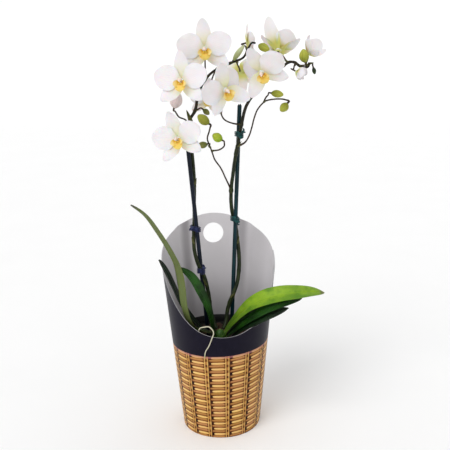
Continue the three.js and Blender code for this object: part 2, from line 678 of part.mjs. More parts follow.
for (const [name, flower] of Object.entries(FLOWERS)) {
  const frame = flowerFrame(flower);
  place(`${name}_tepals`, flowerTepals(flower), FINISH.petal()).applyMatrix4(frame);
  place(`${name}_lip`, flowerLip(flower), FINISH.lip()).applyMatrix4(frame);
}
for (const [name, shape] of Object.entries(BUDS)) place(name, bud(shape), FINISH.bud());

export default group;
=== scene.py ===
"""A potted moth orchid in its carry sleeve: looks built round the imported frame."""
import math
import random

import bmesh
import bpy
from mathutils import Matrix, Vector, noise


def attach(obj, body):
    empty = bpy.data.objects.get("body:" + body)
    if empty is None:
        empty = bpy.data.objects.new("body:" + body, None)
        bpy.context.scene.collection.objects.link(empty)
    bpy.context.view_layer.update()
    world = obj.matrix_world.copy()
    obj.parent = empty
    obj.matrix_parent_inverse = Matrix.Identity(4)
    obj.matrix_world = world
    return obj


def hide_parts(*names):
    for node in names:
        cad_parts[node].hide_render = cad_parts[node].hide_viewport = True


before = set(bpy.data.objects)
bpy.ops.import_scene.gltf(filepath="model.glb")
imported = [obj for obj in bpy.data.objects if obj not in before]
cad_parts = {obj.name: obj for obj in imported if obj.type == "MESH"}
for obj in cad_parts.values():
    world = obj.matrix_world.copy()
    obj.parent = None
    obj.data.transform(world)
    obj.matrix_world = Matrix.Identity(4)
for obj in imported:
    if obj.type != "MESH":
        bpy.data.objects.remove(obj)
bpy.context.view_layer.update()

MM = 0.001  # shapes are worked out in millimetres, as in the CAD, and stored in metres
rad = math.radians
SPAN_STEPS = 24  # straight pieces that a curve is measured by, between two of its points


# ---------------------------------------------------------------- numbers and curves
def lerp(a, b, t):
    return a + (b - a) * t


def smooth(t):
    t = min(1.0, max(0.0, t))
    return t * t * (3 - 2 * t)


def circle(sides):
    """The x and y of evenly spaced points round a circle of radius 1."""
    turns = (2 * math.pi * s / sides for s in range(sides))
    return [(math.cos(turn), math.sin(turn)) for turn in turns]


def srgb(red, green, blue):
    """A linear colour from 0 to 255 screen values."""
    return tuple((c / 255 / 12.92) if c <= 10 else ((c / 255 + 0.055) / 1.055) ** 2.4
                 for c in (red, green, blue)) + (1.0,)


def curve_points(points, count):
    """Evenly spaced points on the centripetal Catmull-Rom curve through the points."""
    pts = [Vector(p) for p in points]
    pts = [pts[0] * 2 - pts[1]] + pts + [pts[-1] * 2 - pts[-2]]
    dense = []
    for i in range(1, len(pts) - 2):
        p0, p1, p2, p3 = pts[i - 1:i + 3]
        d0, d1, d2 = (math.sqrt((b - a).length) or 1e-4 for a, b in ((p0, p1), (p1, p2), (p2, p3)))
        t1 = ((p1 - p0) / d0 - (p2 - p0) / (d0 + d1) + (p2 - p1) / d1) * d1
        t2 = ((p2 - p1) / d1 - (p3 - p1) / (d1 + d2) + (p3 - p2) / d2) * d1
        for k in range(SPAN_STEPS):
            t = k / SPAN_STEPS
            dense.append(p1 * (2 * t**3 - 3 * t**2 + 1) + t1 * (t**3 - 2 * t**2 + t)
                         + p2 * (-2 * t**3 + 3 * t**2) + t2 * (t**3 - t**2))
    dense.append(pts[-2])
    lengths = [0.0]
    for a, b in zip(dense, dense[1:]):
        lengths.append(lengths[-1] + (b - a).length)
    result = []
    j = 0
    for i in range(count + 1):
        want = lengths[-1] * i / count
        while j < len(lengths) - 2 and lengths[j + 1] < want:
            j += 1
        span = (lengths[j + 1] - lengths[j]) or 1.0
        result.append(dense[j].lerp(dense[j + 1], (want - lengths[j]) / span))
    return result, lengths[-1]


def transport(path):
    """Tangent, and two sides that turn as little as they can, at each point of a path."""
    tangents = []
    for i in range(len(path)):
        ahead = path[min(i + 1, len(path) - 1)] - path[max(i - 1, 0)]
        tangents.append(ahead.normalized())
    side = tangents[0].orthogonal().normalized()
    frames = []
    for tangent in tangents:
        side = (side - tangent * side.dot(tangent)).normalized()
        frames.append((tangent, side, tangent.cross(side)))
    return frames


# ---------------------------------------------------------------- shapes
class Shape:
    """Vertices in millimetres, faces, and for each vertex a grain: along, across and kind."""

    def __init__(self):
        self.verts, self.faces, self.grain, self.looks = [], [], [], []

    def loft(self, rings, grains=None, look=0, loop=False):
        """The skin between rings of points, with a fan on each end unless they loop."""
        grains = grains or [[(0, 0, 0)] * len(ring) for ring in rings]
        start = len(self.verts)
        sides = len(rings[0])
        for ring, grain in zip(rings, grains):
            self.verts += ring
            self.grain += grain
        for r in range(len(rings) if loop else len(rings) - 1):
            low = start + r * sides
            high = start + ((r + 1) % len(rings)) * sides
            for s in range(sides):
                n = (s + 1) % sides
                self.faces.append((low + s, low + n, high + n, high + s))
                self.looks.append(look)
        if not loop:
            for r, turn in ((0, -1), (len(rings) - 1, 1)):
                low = start + r * sides
                middle = sum(rings[r], Vector()) / sides
                self.verts.append(middle)
                self.grain.append(grains[r][0])
                hub = len(self.verts) - 1
                for s in range(sides):
                    n = (s + 1) % sides
                    self.faces.append((low + s, low + n, hub)[::turn])
                    self.looks.append(look)

    def tube(self, points, radius, kind=0.0, sides=14, step=1.2, lumps=0.0, seed=0.0, count=None):
        """A round tube on a smooth curve. radius is a function of how far along it is, 0 to 1."""
        length = sum((Vector(b) - Vector(a)).length for a, b in zip(points, points[1:]))
        count = count or max(6, int(length / step))
        path, length = curve_points(points, count)
        rings, grains = [], []
        for i, (centre, (_, side, other)) in enumerate(zip(path, transport(path))):
            u = i / count
            ring, grain = [], []
            for s, (x, y) in enumerate(circle(sides)):
                out = side * x + other * y
                r = radius(u)
                if lumps:
                    r *= 1 + lumps * noise.noise((centre + out * 3) * 0.35 + Vector((seed, 0, 0)))
                ring.append(centre + out * r)
                grain.append((u, s / sides, kind))
            rings.append(ring)
            grains.append(grain)
        self.loft(rings, grains)

    def blob(self, centre, radii, kind=0.0, rows=10, sides=14):
        """A closed egg about a centre."""
        rings, grains = [], []
        for i in range(rows + 1):
            angle = math.pi * (0.03 + 0.94 * i / rows)
            swell = math.sin(angle)
            rings.append([Vector(centre) + Vector((
                radii[0] * swell * x, radii[1] * swell * y, -radii[2] * math.cos(angle),
            )) for x, y in circle(sides)])
            grains.append([(i / rows, s / sides, kind) for s in range(sides)])
        self.loft(rings, grains)

    def moved(self, matrix):
        self.verts = [matrix @ point for point in self.verts]


def finish_mesh(mesh, sharp):
    """Faces turned outwards, and shaded smooth except across edges over sharp degrees."""
    work = bmesh.new()
    work.from_mesh(mesh)
    bmesh.ops.recalc_face_normals(work, faces=work.faces)
    work.to_mesh(mesh)
    work.free()
    mesh.shade_smooth()
    mesh.set_sharp_from_angle(angle=rad(sharp))


def make_object(name, shape, materials, sharp):
    mesh = bpy.data.meshes.new(name)
    mesh.from_pydata([v * MM for v in shape.verts], [], shape.faces)
    for item in materials:
        mesh.materials.append(item)
    mesh.polygons.foreach_set("material_index", shape.looks)
    grain = mesh.attributes.new("grain", "FLOAT_VECTOR", "POINT")
    grain.data.foreach_set("vector", [c for g in shape.grain for c in g])
    finish_mesh(mesh, sharp)
    thing = bpy.data.objects.new(name, mesh)
    bpy.context.scene.collection.objects.link(thing)
    return thing


def settle(thing, slot, *nodes):
    """The piece moves with the part and stands for its CAD nodes, which are hidden; slot is not used."""
    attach(thing, "root")
    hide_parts(*nodes)


def cut_out(thing, cutter, sharp):
    """Takes the cutter's shape out of the piece, keeps the result as its mesh and shades it."""
    modifier = thing.modifiers.new("cut", "BOOLEAN")
    modifier.operation = "DIFFERENCE"
    modifier.solver = "EXACT"
    modifier.object = cutter
    bpy.context.view_layer.update()
    shown = thing.evaluated_get(bpy.context.evaluated_depsgraph_get())
    result = bpy.data.meshes.new_from_object(shown)
    thing.modifiers.remove(modifier)
    thing.data = result
    bpy.data.objects.remove(cutter)
    finish_mesh(result, sharp)


# ---------------------------------------------------------------- material nodes
class Value:
    """A shader socket that can be reckoned with."""

    def __init__(self, look, socket):
        self.look, self.socket = look, socket

    def math(self, operation, *others):
        node = self.look.nodes.new("ShaderNodeMath")
        node.operation = operation
        for slot, item in zip(node.inputs, (self, *others)):
            self.look.feed(slot, item)
        return Value(self.look, node.outputs[0])

    def __add__(self, other): return self.math("ADD", other)
    def __sub__(self, other): return self.math("SUBTRACT", other)
    def __rsub__(self, other): return (self * -1) + other
    def __mul__(self, other): return self.math("MULTIPLY", other)
    def __truediv__(self, other): return self.math("DIVIDE", other)
    def __pow__(self, other): return self.math("POWER", other)
    def floor(self): return self.math("FLOOR")
    def fract(self): return self.math("FRACT")
    def abs(self): return self.math("ABSOLUTE")
    def most(self, other): return self.math("MAXIMUM", other)

    def fade(self, low, high):
        """0 below low, 1 above high, and smooth between. high may be under low."""
        node = self.look.nodes.new("ShaderNodeMapRange")
        node.interpolation_type = "SMOOTHSTEP"
        self.look.feed(node.inputs[0], self)
        flip = high < low
        node.inputs[1].default_value = high if flip else low
        node.inputs[2].default_value = low if flip else high
        node.inputs[3].default_value = 1.0 if flip else 0.0
        node.inputs[4].default_value = 0.0 if flip else 1.0
        return Value(self.look, node.outputs[0])

    def band(self, middle, half, soft):
        """1 within half of the middle, fading to 0 over soft."""
        return (self - middle).abs().fade(half + soft, half)


class Look:
    """A procedural material on one Principled shader."""

    def __init__(self, name, roughness=0.5, **constants):
        self.material = bpy.data.materials.new(name)
        self.material.use_nodes = True
        self.nodes = self.material.node_tree.nodes
        self.links = self.material.node_tree.links
        self.shader = self.nodes["Principled BSDF"]
        self.shader.inputs["Roughness"].default_value = roughness
        for key, value in constants.items():
            self.shader.inputs[key.replace("_", " ")].default_value = value
        self.place = self.object_space()

    def feed(self, slot, item):
        """Sets a socket from a value, a number, or a colour of three 0 to 255 screen values."""
        if isinstance(item, Value):
            self.links.new(item.socket, slot)
        elif isinstance(item, tuple) and len(item) == 3:
            slot.default_value = srgb(*item)
        else:
            slot.default_value = item

    def object_space(self):
        """Where a point of the object is, in millimetres."""
        node = self.nodes.new("ShaderNodeTexCoord")
        scale = self.nodes.new("ShaderNodeVectorMath")
        scale.operation = "SCALE"
        scale.inputs["Scale"].default_value = 1000.0
        self.links.new(node.outputs["Object"], scale.inputs[0])
        return Value(self, scale.outputs[0])

    def parts(self, vector):
        node = self.nodes.new("ShaderNodeSeparateXYZ")
        self.feed(node.inputs[0], vector)
        return [Value(self, out) for out in node.outputs]

    def vector(self, *parts):
        node = self.nodes.new("ShaderNodeCombineXYZ")
        for slot, item in zip(node.inputs, parts):
            self.feed(slot, item)
        return Value(self, node.outputs[0])

    def grain(self):
        node = self.nodes.new("ShaderNodeAttribute")
        node.attribute_name = "grain"
        return self.parts(Value(self, node.outputs["Vector"]))

    def noise(self, scale, detail=3.0, rough=0.55, at=None):
        """Soft noise in object space, or at another vector."""
        node = self.nodes.new("ShaderNodeTexNoise")
        self.feed(node.inputs["Vector"], at or self.place)
        node.inputs["Scale"].default_value = scale
        node.inputs["Detail"].default_value = detail
        node.inputs["Roughness"].default_value = rough
        return Value(self, node.outputs[0])

    def chance(self, vector):
        node = self.nodes.new("ShaderNodeTexWhiteNoise")
        self.feed(node.inputs["Vector"], vector)
        return Value(self, node.outputs[0])

    def cells(self, scale):
        """The distance to the middle of the nearest of many scattered cells."""
        node = self.nodes.new("ShaderNodeTexVoronoi")
        self.feed(node.inputs["Vector"], self.place)
        node.inputs["Scale"].default_value = scale
        return Value(self, node.outputs["Distance"])

    def mix(self, factor, first, second):
        """The first colour at 0 and the second at 1."""
        node = self.nodes.new("ShaderNodeMix")
        node.data_type = "RGBA"
        self.feed(node.inputs[0], factor)
        self.feed(node.inputs[6], first)
        self.feed(node.inputs[7], second)
        return Value(self, node.outputs[2])

    def layers(self, tone, *layers):
        """Colours laid over the first one, each with how much of it shows."""
        for factor, colour in layers:
            tone = self.mix(factor, tone, colour)
        return tone

    def colour(self, value):
        self.feed(self.shader.inputs["Base Color"], value)

    def rough(self, value):
        self.feed(self.shader.inputs["Roughness"], value)

    def bump(self, height, distance):
        """Relief, with distance the height in millimetres of a value of 1."""
        node = self.nodes.new("ShaderNodeBump")
        node.inputs["Strength"].default_value = 1.0
        node.inputs["Distance"].default_value = distance * MM
        self.feed(node.inputs["Height"], height)
        self.links.new(node.outputs[0], self.shader.inputs["Normal"])


# ---------------------------------------------------------------- camera, floor and light
FOCAL_MM, SENSOR_MM = 60.24, 36.0
ROLL = -0.018  # radians
CAMERA_AT, CAMERA_AIM = Vector((0, -0.7, 0.4)), Vector((0.007, 0, 0.207))  # metres
SKY = 0.72  # strength of the white light from all round
# name, where it shines from, how wide it is in degrees, strength
SUNS = (("key", (-0.9, -1.2, 1.5), 35, 1.25), ("rim", (1.0, 1.2, 1.0), 50, 0.2))
# radius and height, in metres, of a round floor that sweeps up at its edge
FLOOR_PROFILE = ((0.5, 0), (3.0, 0), (3.4, 0.03), (3.7, 0.12), (3.9, 0.3), (4.0, 0.6), (4.02, 1.1))


def add_camera():
    camera = bpy.data.objects.new("camera", bpy.data.cameras.new("camera"))
    camera.data.lens = FOCAL_MM
    camera.data.sensor_width = SENSOR_MM
    camera.data.clip_start = 0.01
    ahead = (CAMERA_AIM - CAMERA_AT).normalized()
    right = ahead.cross(Vector((0, 0, 1))).normalized()
    right = right * math.cos(ROLL) + right.cross(ahead) * math.sin(ROLL)
    up = right.cross(ahead)
    turn = Matrix((right, up, -ahead)).transposed()
    camera.matrix_world = Matrix.Translation(CAMERA_AT) @ turn.to_4x4()
    bpy.context.scene.collection.objects.link(camera)
    bpy.context.scene.camera = camera


def add_sun(name, place, spread, strength):
    sun = bpy.data.objects.new(name, bpy.data.lights.new(name, "SUN"))
    sun.data.angle = rad(spread)
    sun.data.energy = strength
    sun.rotation_euler = (Vector((0, 0, 0)) - Vector(place)).to_track_quat("-Z", "Y").to_euler()
    bpy.context.scene.collection.objects.link(sun)


def add_stage():
    look = Look("floor", roughness=0.9)
    tone = look.noise(0.01, 2.0)
    look.colour(look.mix(tone, (0.93, 0.93, 0.93, 1), (0.96, 0.96, 0.96, 1)))
    mesh = bpy.data.meshes.new("floor")
    sides = 96
    points = [(r * x, r * y, z) for r, z in FLOOR_PROFILE for x, y in circle(sides)]
    faces = [tuple(range(sides))]
    for row in range(len(FLOOR_PROFILE) - 1):
        for s in range(sides):
            a, b = row * sides + s, row * sides + (s + 1) % sides
            faces.append((a, a + sides, b + sides, b))
    mesh.from_pydata(points, [], faces)
    mesh.polygons.foreach_set("use_smooth", [True] * len(mesh.polygons))
    mesh.materials.append(look.material)
    floor = bpy.data.objects.new("floor", mesh)
    bpy.context.scene.collection.objects.link(floor)
    world = bpy.data.worlds.new("studio")
    world.use_nodes = True
    world.node_tree.nodes["Background"].inputs["Color"].default_value = (1, 1, 1, 1)
    world.node_tree.nodes["Background"].inputs["Strength"].default_value = SKY
    bpy.context.scene.world = world
    bpy.context.scene.view_settings.view_transform = "Standard"
    for sun in SUNS:
        add_sun(*sun)


add_camera()
add_stage()

# ---------------------------------------------------------------- sleeve
SLEEVE_RADIUS, SLEEVE_FLARE, CARD = 38.8, 0.097, 0.6
RIM_WAVES = (161.4, -47.2, -5.5, 0.4, 1.9)
RIM_DIP, DIP_WIDTH, DIP_DEPTH = 43, 8, 6.5
TURN = 5  # degrees that the front has turned towards +X
LAP_END, LAP = 105, 15  # degrees: where the glued lap ends, and how far it reaches back
CREASE = 38  # degrees from the middle of the back to each soft fold line
HOLE_RADIUS, HOLE_HEIGHT = 10.5, 184
LAP_LIFT = 0.68  # how far the lap stands out from the card under it


def rim_height(angle):
    away = (angle - RIM_DIP + 180) % 360 - 180
    return (sum(wave * math.cos(n * rad(angle)) for n, wave in enumerate(RIM_WAVES))
            - DIP_DEPTH * math.exp(-(away / DIP_WIDTH) ** 2))


def sleeve_swell(phi, z):
    """How far the card stands out of a true cone: soft folds either side of a flatter back."""
    back = (phi - 180 - TURN + 180) % 360 - 180
    folds = sum(math.exp(-((back - side * CREASE) / 5.5) ** 2) for side in (-1, 1))
    flat = smooth(1 - abs(back) / CREASE) * 0.9
    high = smooth((z - 60) / 80)
    return (folds * 1.5 - flat) * high + 0.12 * math.sin(rad(phi) * 5 + z * 0.02)


def carry_sleeve():
    columns, rows = 300, 26
    rings = []
    for c in range(columns + 1):
        run = c / columns * (360 + LAP)
        phi = LAP_END - LAP + run
        lift = LAP_LIFT * smooth((run - 360 + 4) / 4)
        top = rim_height(phi - TURN)
        outer, inner = [], []
        for r in range(rows + 1):
            z = top * r / rows
            radius = SLEEVE_RADIUS + SLEEVE_FLARE * z + sleeve_swell(phi, z) + lift
            way = Vector((math.sin(rad(phi)), -math.cos(rad(phi)), 0))
            outer.append(way * radius + Vector((0, 0, z)))
            inner.append(way * (radius - CARD) + Vector((0, 0, z)))
        rings.append(outer + inner[::-1])
    shape = Shape()
    shape.loft(rings)
    sides = len(rings[0])
    for i, face in enumerate(shape.faces):
        spot = i % sides
        on_wall = i < sides * columns
        shape.looks[i] = 2 if not on_wall or spot in (rows, sides - 1) else (0 if spot < rows else 1)
    looks = [print_look(), inside_look(), edge_look()]
    sleeve = make_object("sleeve_card_wrap", shape, looks, sharp=35)
    hole = Shape()
    rings = [[Vector((HOLE_RADIUS * x, way, HOLE_RADIUS * z)) for x, z in circle(64)]
             for way in (-12, 12)]
    hole.loft(rings, look=2)
    middle = SLEEVE_RADIUS + SLEEVE_FLARE * HOLE_HEIGHT
    spot = (-middle * math.sin(rad(TURN)), middle * math.cos(rad(TURN)), HOLE_HEIGHT)
    hole.moved(Matrix.Translation(spot) @ Matrix.Rotation(rad(TURN), 4, "Z"))
    cut_out(sleeve, make_object("hole_cutter", hole, looks, sharp=35), sharp=35)
    settle(sleeve, "sleeve_card", "carry_sleeve")


CELL_TURN, CELL_WIDTH, CELL_HIGH = 25.0, 20.0, 6.1  # one wicker cell: degrees, and millimetres
FIRST_STAKE = -12.85  # degrees from the front to one of the printed upright pairs
BAND_LOW = 91.0  # where the plain band starts at the front
BAND_TILT = 0.029  # how far the whole print rises for each millimetre across


def print_look():
    look = Look("sleeve_print", roughness=0.5, Specular_IOR_Level=0.1)
    x, y, z = look.parts(look.place)
    away = rad(LAP_END - 180)
    # the angle is measured from opposite the lap, so that the print breaks only at the lap's edge
    turned_x = x * math.cos(away) + y * math.sin(away)
    turned_y = y * math.cos(away) - x * math.sin(away)
    phi = turned_x.math("ARCTAN2", turned_y * -1) * (180 / math.pi) + (LAP_END - 180)
    level = z + x * -BAND_TILT
    wobble = look.noise(0.09, 2.0) - 0.5
    across = (phi - FIRST_STAKE) / CELL_TURN + 1.2 / CELL_WIDTH
    up = (level + wobble * 0.9) / CELL_HIGH
    cell = look.vector(across.floor(), up.floor(), 0.0)
    u = across.fract() * CELL_WIDTH
    v = up.fract() * CELL_HIGH
    luck = look.chance(cell)
    drift = look.chance(look.vector(up.floor(), across.floor(), 7.0))
    fibre = look.noise(1.2, 4.0, 0.7, at=look.vector(phi * 0.25, level * 2.6, 0.0))
    # the pale upper strand is a spindle that runs from one pair of uprights to the next
    run = ((u - 9.0) / 7.2).abs()
    spindle_half = (1 - (run ** 4.0)).most(0.0) * 1.3 + 0.05
    spindle = ((v - 4.25).abs() / spindle_half).fade(1.12, 0.72)
    strand_half = (1 - (((u - 9.1) / 8.6).abs() ** 5.0)).most(0.0) * 1.2 + 0.05
    strand = ((v - 1.3).abs() / strand_half).fade(1.15, 0.7)
    dark = look.mix(fibre, (78, 36, 14), (112, 62, 26))
    tan = look.mix(luck, (188, 138, 66), (206, 146, 96))
    tan = look.mix((v / 2.6).fade(0.9, 0.1) * 0.7, tan, (132, 84, 40))
    pale = look.mix(luck, (232, 186, 100), (226, 172, 104))
    shine = (spindle * (u.fade(15.0, 5.0) * 0.6 + 0.4)) * (v - 4.5).abs().fade(0.9, 0.1)
    pale = look.mix(shine * 0.7, pale, (248, 218, 146))
    body = look.mix(strand, dark, tan)
    body = look.mix(spindle, body, pale)
    body = look.mix((fibre - 0.5) * 0.9, body, (110, 62, 28))
    # the two uprights, the slot between them and the dark square beside them
    sticks = u.band(16.3, 0.3, 0.3).most(u.band(19.2, 0.32, 0.3)) * (v.band(4.25, 1.2, 1.2) * 0.35 + 0.6)
    stick = look.mix(luck, (218, 168, 84), (236, 196, 116))
    slot = u.band(17.8, 0.65, 0.3) * v.band(1.4, 1.2, 0.4)
    gap = u.band(17.8, 0.6, 0.5)
    square = u.band(1.3, 1.25, 0.4) * v.band(4.25, 1.45, 0.4)
    mark = u.band(15.2, 0.25, 0.3) * v.band(1.4, 0.9, 0.5)
    body = look.layers(
        body,
        (gap, (176, 120, 60)),
        (sticks, stick),
        (slot.most(mark) * 0.9, (62, 22, 10)),
        (square, (26, 6, 4)),
    )
    rosy = look.noise(0.35, 2.0, at=look.vector(phi * 0.2, level * 0.35, 3.0))
    body = look.mix(rosy.fade(0.56, 0.74) * 0.2, body, (196, 132, 108))
    body = look.mix(drift * 0.16, body, (140, 84, 40))
    # the plain band over the wicker, with a rosy shadow line where they meet
    edge = level - BAND_LOW
    body = look.mix(edge.band(-0.9, 0.7, 0.8) * 0.6, body, (168, 108, 112))
    night = look.mix(look.noise(0.05, 3.0), (12, 10, 26), (22, 18, 34))
    look.colour(look.mix(edge.fade(-0.15, 0.15), body, night))
    look.rough(look.noise(0.4, 3.0) * 0.12 + 0.34)
    look.bump(look.noise(1.6, 2.0) + spindle * 0.15, 0.03)
    return look.material


def inside_look():
    look = Look("sleeve_inside", roughness=0.8, Specular_IOR_Level=0.2)
    x, y, z = look.parts(look.place)
    fibre = look.noise(1.8, 5.0, 0.7)
    tone = look.mix(fibre, (214, 210, 213), (224, 221, 224))
    phi = x.math("ARCTAN2", y) * (180 / math.pi)
    # painted shade: grey bands down the card's two soft fold lines, stronger higher up, where the folds turn
    # from the light
    for side, strength in ((-1, 0.75), (1, 0.6)):
        painted_crease_shade = (phi + TURN - side * (CREASE - 7)).abs().fade(9.0, 1.0) * z.fade(80, 150)
        tone = look.mix(painted_crease_shade * strength, tone, (128, 124, 128))
    # painted shade: the inside card is darker towards the bottom, deep in the sleeve
    tone = look.mix(z.fade(150, 95) * 0.5, tone, (128, 125, 128))
    look.colour(look.mix(look.noise(0.03, 2.0).fade(0.4, 0.7) * 0.12, tone, (200, 197, 194)))
    look.bump(fibre, 0.05)
    return look.material


def edge_look():
    look = Look("sleeve_edge", roughness=0.85)
    fibre = look.noise(2.5, 4.0, 0.7)
    look.colour(look.mix(fibre, (168, 166, 170), (196, 194, 196)))
    look.bump(fibre, 0.04)
    return look.material


carry_sleeve()

# ---------------------------------------------------------------- nursery pot
POT_HEIGHT, POT_BOTTOM, POT_SHOULDER, POT_RIM, RIM_HEIGHT, POT_WALL = 96, 33, 43.4, 47.1, 9, 1.2
POT_SLOPE = (POT_SHOULDER - POT_BOTTOM) / (POT_HEIGHT - RIM_HEIGHT)
DRAIN_HOLES, DRAIN_RADIUS, DRAIN_CIRCLE = 6, 4, 21
RIDGES = (25, 49, 71)  # heights of the thin rings round the pot


def pot_look():
    look = Look("pot_black", roughness=0.5, Specular_IOR_Level=0.2)
    _, _, z = look.parts(look.place)
    dust = look.noise(0.12, 5.0, 0.65)
    tone = look.mix(dust.fade(0.42, 0.75) * 0.5, (12, 12, 13), (34, 31, 28))
    look.colour(look.mix(z.fade(12, 0) * 0.25, tone, (60, 54, 46)))
    look.rough(dust * 0.35 + 0.3)
    look.bump(look.noise(1.1, 3.0), 0.06)
    return look.material


def nursery_pot():
    shoulder = POT_HEIGHT - RIM_HEIGHT
    profile = [
        (0.3, 0.9), (12, 0.9), (13, 0.0),
        (POT_BOTTOM - 1.2, 0), (POT_BOTTOM - 0.3, 0.35), (POT_BOTTOM, 1.4),
    ]
    for z in [12] + [ridge + step for ridge in RIDGES for step in (-1, 0, 1)]:
        ridge = 0.35 if z in RIDGES else 0.0
        profile.append((POT_BOTTOM + POT_SLOPE * z + ridge, z))
    profile += [
        (POT_SHOULDER - 0.2, shoulder - 1.5), (POT_SHOULDER, shoulder), (POT_RIM - 1.2, shoulder + 0.3),
        (POT_RIM - 0.7, shoulder + 1), (POT_RIM - 0.4, POT_HEIGHT - 1.8), (POT_RIM, POT_HEIGHT - 1.2),
        (POT_RIM, POT_HEIGHT - 0.3), (POT_RIM - 0.4, POT_HEIGHT), (POT_RIM - 1, POT_HEIGHT),
        (POT_RIM - POT_WALL - 0.2, POT_HEIGHT - 0.4), (POT_SHOULDER + 0.9, shoulder + 1.6),
        (POT_SHOULDER - POT_WALL, shoulder), (POT_BOTTOM - POT_WALL, 2.2), (POT_BOTTOM - 2.2, 1.3),
        (13, 1.3), (12, 2.1), (0.3, 2.1),
    ]
    shape = Shape()
    shape.loft([[Vector((r * x, r * y, z)) for r, z in profile] for x, y in circle(120)], loop=True)
    look = pot_look()
    pot = make_object("pot_shell", shape, [look], sharp=35)
    drains = Shape()
    for x, y in circle(DRAIN_HOLES):
        rings = [[Vector((DRAIN_CIRCLE * x + DRAIN_RADIUS * a, DRAIN_CIRCLE * y + DRAIN_RADIUS * b, z))
                  for a, b in circle(32)] for z in (-3, 5)]
        drains.loft(rings)
    cut_out(pot, make_object("drain_cutter", drains, [look], sharp=35), sharp=35)
    settle(pot, "pot_plastic", "nursery_pot")


nursery_pot()


# ---------------------------------------------------------------- bark
def bark_look():
    look = Look("bark_chips", roughness=0.9)
    _, _, kind = look.grain()
    grain = look.noise(0.55, 6.0, 0.7)
    # the bark's own browns, kept darker than the chips are to paint the shade in the pot under the leaves
    tone = look.mix(grain, (28, 17, 12), (74, 46, 30))
    tone = look.mix(kind.fade(0.5, 1.0) * 0.5, tone, (98, 64, 42))
    look.colour(look.mix(look.cells(0.9).fade(0.25, 0.0) * 0.5, tone, (24, 15, 11)))
    look.rough(grain * 0.3 + 0.65)
    look.bump(grain + look.cells(0.7) * 0.6, 0.5)
    return look.material


CHIPS = 260
CHIP_REACH, CHIP_LIMIT = 39.5, 42.3  # how far out a chip's middle, and its end, may lie
CHIP_LEVEL = 86.4


def bark_medium():
    luck = random.Random(11)
    shape = Shape()
    levels = [(30.5, 2.6), (POT_BOTTOM + POT_SLOPE * 80 - 1.9, 80), (40.6, 84)]
    levels += [(r, 85.5) for r in (38, 34, 29, 24, 19, 14, 9, 4)]
    rings = []
    for n, (radius, z) in enumerate(levels):
        ring = []
        for x, y in circle(72):
            spot = Vector((radius * x, radius * y, z))
            if n > 1:
                spot.z += 2.4 * noise.noise(spot * 0.16)
            ring.append(spot)
        rings.append(ring)
    shape.loft(rings)
    chips = 0
    while chips < CHIPS:
        angle, reach = luck.uniform(0, 2 * math.pi), CHIP_REACH * math.sqrt(luck.random())
        size = Vector((luck.uniform(3.2, 7.0), luck.uniform(2.2, 4.2), luck.uniform(1.0, 2.2)))
        if reach + size.x > CHIP_LIMIT:
            continue
        chips += 1
        level = CHIP_LEVEL + luck.uniform(-1.2, 2.4)
        place = Vector((reach * math.cos(angle), reach * math.sin(angle), level))
        turn = (Matrix.Rotation(luck.uniform(0, 6.3), 3, "Z")
                @ Matrix.Rotation(luck.gauss(0, 0.3), 3, "X")
                @ Matrix.Rotation(luck.gauss(0, 0.25), 3, "Y"))
        tone = luck.random()
        rows, sides = 6, 9
        phase = luck.uniform(0, 50)
        rings = []
        for i in range(rows + 1):
            along = i / rows * 2 - 1
            taper = (1 - abs(along) ** 4 * luck.uniform(0.35, 0.75))
            ring = []
            for s in range(sides):
                a = 2 * math.pi * (s + 0.5) / sides
                square = 1 / max(abs(math.cos(a)), abs(math.sin(a))) ** 0.7
                jag = 1 + 0.28 * noise.noise(Vector((phase + along * 2.2, a * 1.3, phase)))
                ring.append(place + turn @ Vector((
                    along * size.x, math.cos(a) * size.y * square * taper * jag,
                    math.sin(a) * size.z * square * taper * jag)))
            rings.append(ring)
        shape.loft(rings, [[(i / rows, 0, tone)] * sides for i in range(rows + 1)])
    settle(make_object("bark_pile", shape, [bark_look()], sharp=28), "bark", "bark_medium")


bark_medium()

# ---------------------------------------------------------------- stakes
# the top, and the point level with the sleeve's rim
STAKES = {
    "left": ((-27.6, -2.7, 299), (-13.3, 8, 107.8)),
    "right": ((22.5, -1, 323), (12.5, 9, 106.8)),
}
STAKE_FOOT, STAKE_RADIUS = 30, 2.0
SIDE_COLOUR = {"left": "navy", "right": "teal"}


def stake_look(name, dark, light):
    look = Look(name, roughness=0.42, Specular_IOR_Level=0.22)
    x, y, z = look.parts(look.place)
    streak = look.noise(0.9, 4.0, at=look.vector(x, y, z * 0.06))
    look.colour(look.mix(streak.fade(0.4, 0.75), dark, light))
    look.rough(streak * 0.25 + 0.3)
    look.bump(streak, 0.12)
    return look.material


def stake_point(side, z):
    top, rim = (Vector(p) for p in STAKES[side])
    return rim + (top - rim) * ((z - rim.z) / (top.z - rim.z))


def stake(side, look, forked):
    """A rod with rounded ends. forked is how deep its top is notched."""
    foot, top = stake_point(side, STAKE_FOOT), Vector(STAKES[side][0])
    axis = (top - foot).normalized()
    across = axis.orthogonal().normalized()
    other = axis.cross(across)
    length = (top - foot).length
    sides = 24
    rings, grains = [], []
    marks = [0, 0.6, 1.6, 3] + [length * k / 30 for k in range(1, 30)]
    marks += [length - 3, length - 1.4, length - 0.5, length]
    for mark in marks:
        end = min(mark, length - mark)
        radius = STAKE_RADIUS * math.sqrt(min(1.0, 0.25 + 0.75 * min(1.0, end / 1.4)))
        radius *= 1 + 0.012 * math.sin(mark * 0.21)
        ring = []
        for x, y in circle(sides):
            drop = forked * smooth((mark - length + 3) / 3) * y * y
            ring.append(foot + axis * (mark - drop) + (across * x + other * y) * radius)
        rings.append(ring)
        grains.append([(mark / length, s / sides, 0) for s in range(sides)])
    shape = Shape()
    shape.loft(rings, grains)
    rod = make_object("stake_rod_" + side, shape, [look], sharp=60)
    settle(rod, "stake_" + SIDE_COLOUR[side], "stake_" + side)


stake("left", stake_look("stake_navy", (3, 12, 28), (14, 30, 50)), 0)
stake("right", stake_look("stake_teal", (0, 30, 38), (0, 56, 62)), 2.6)

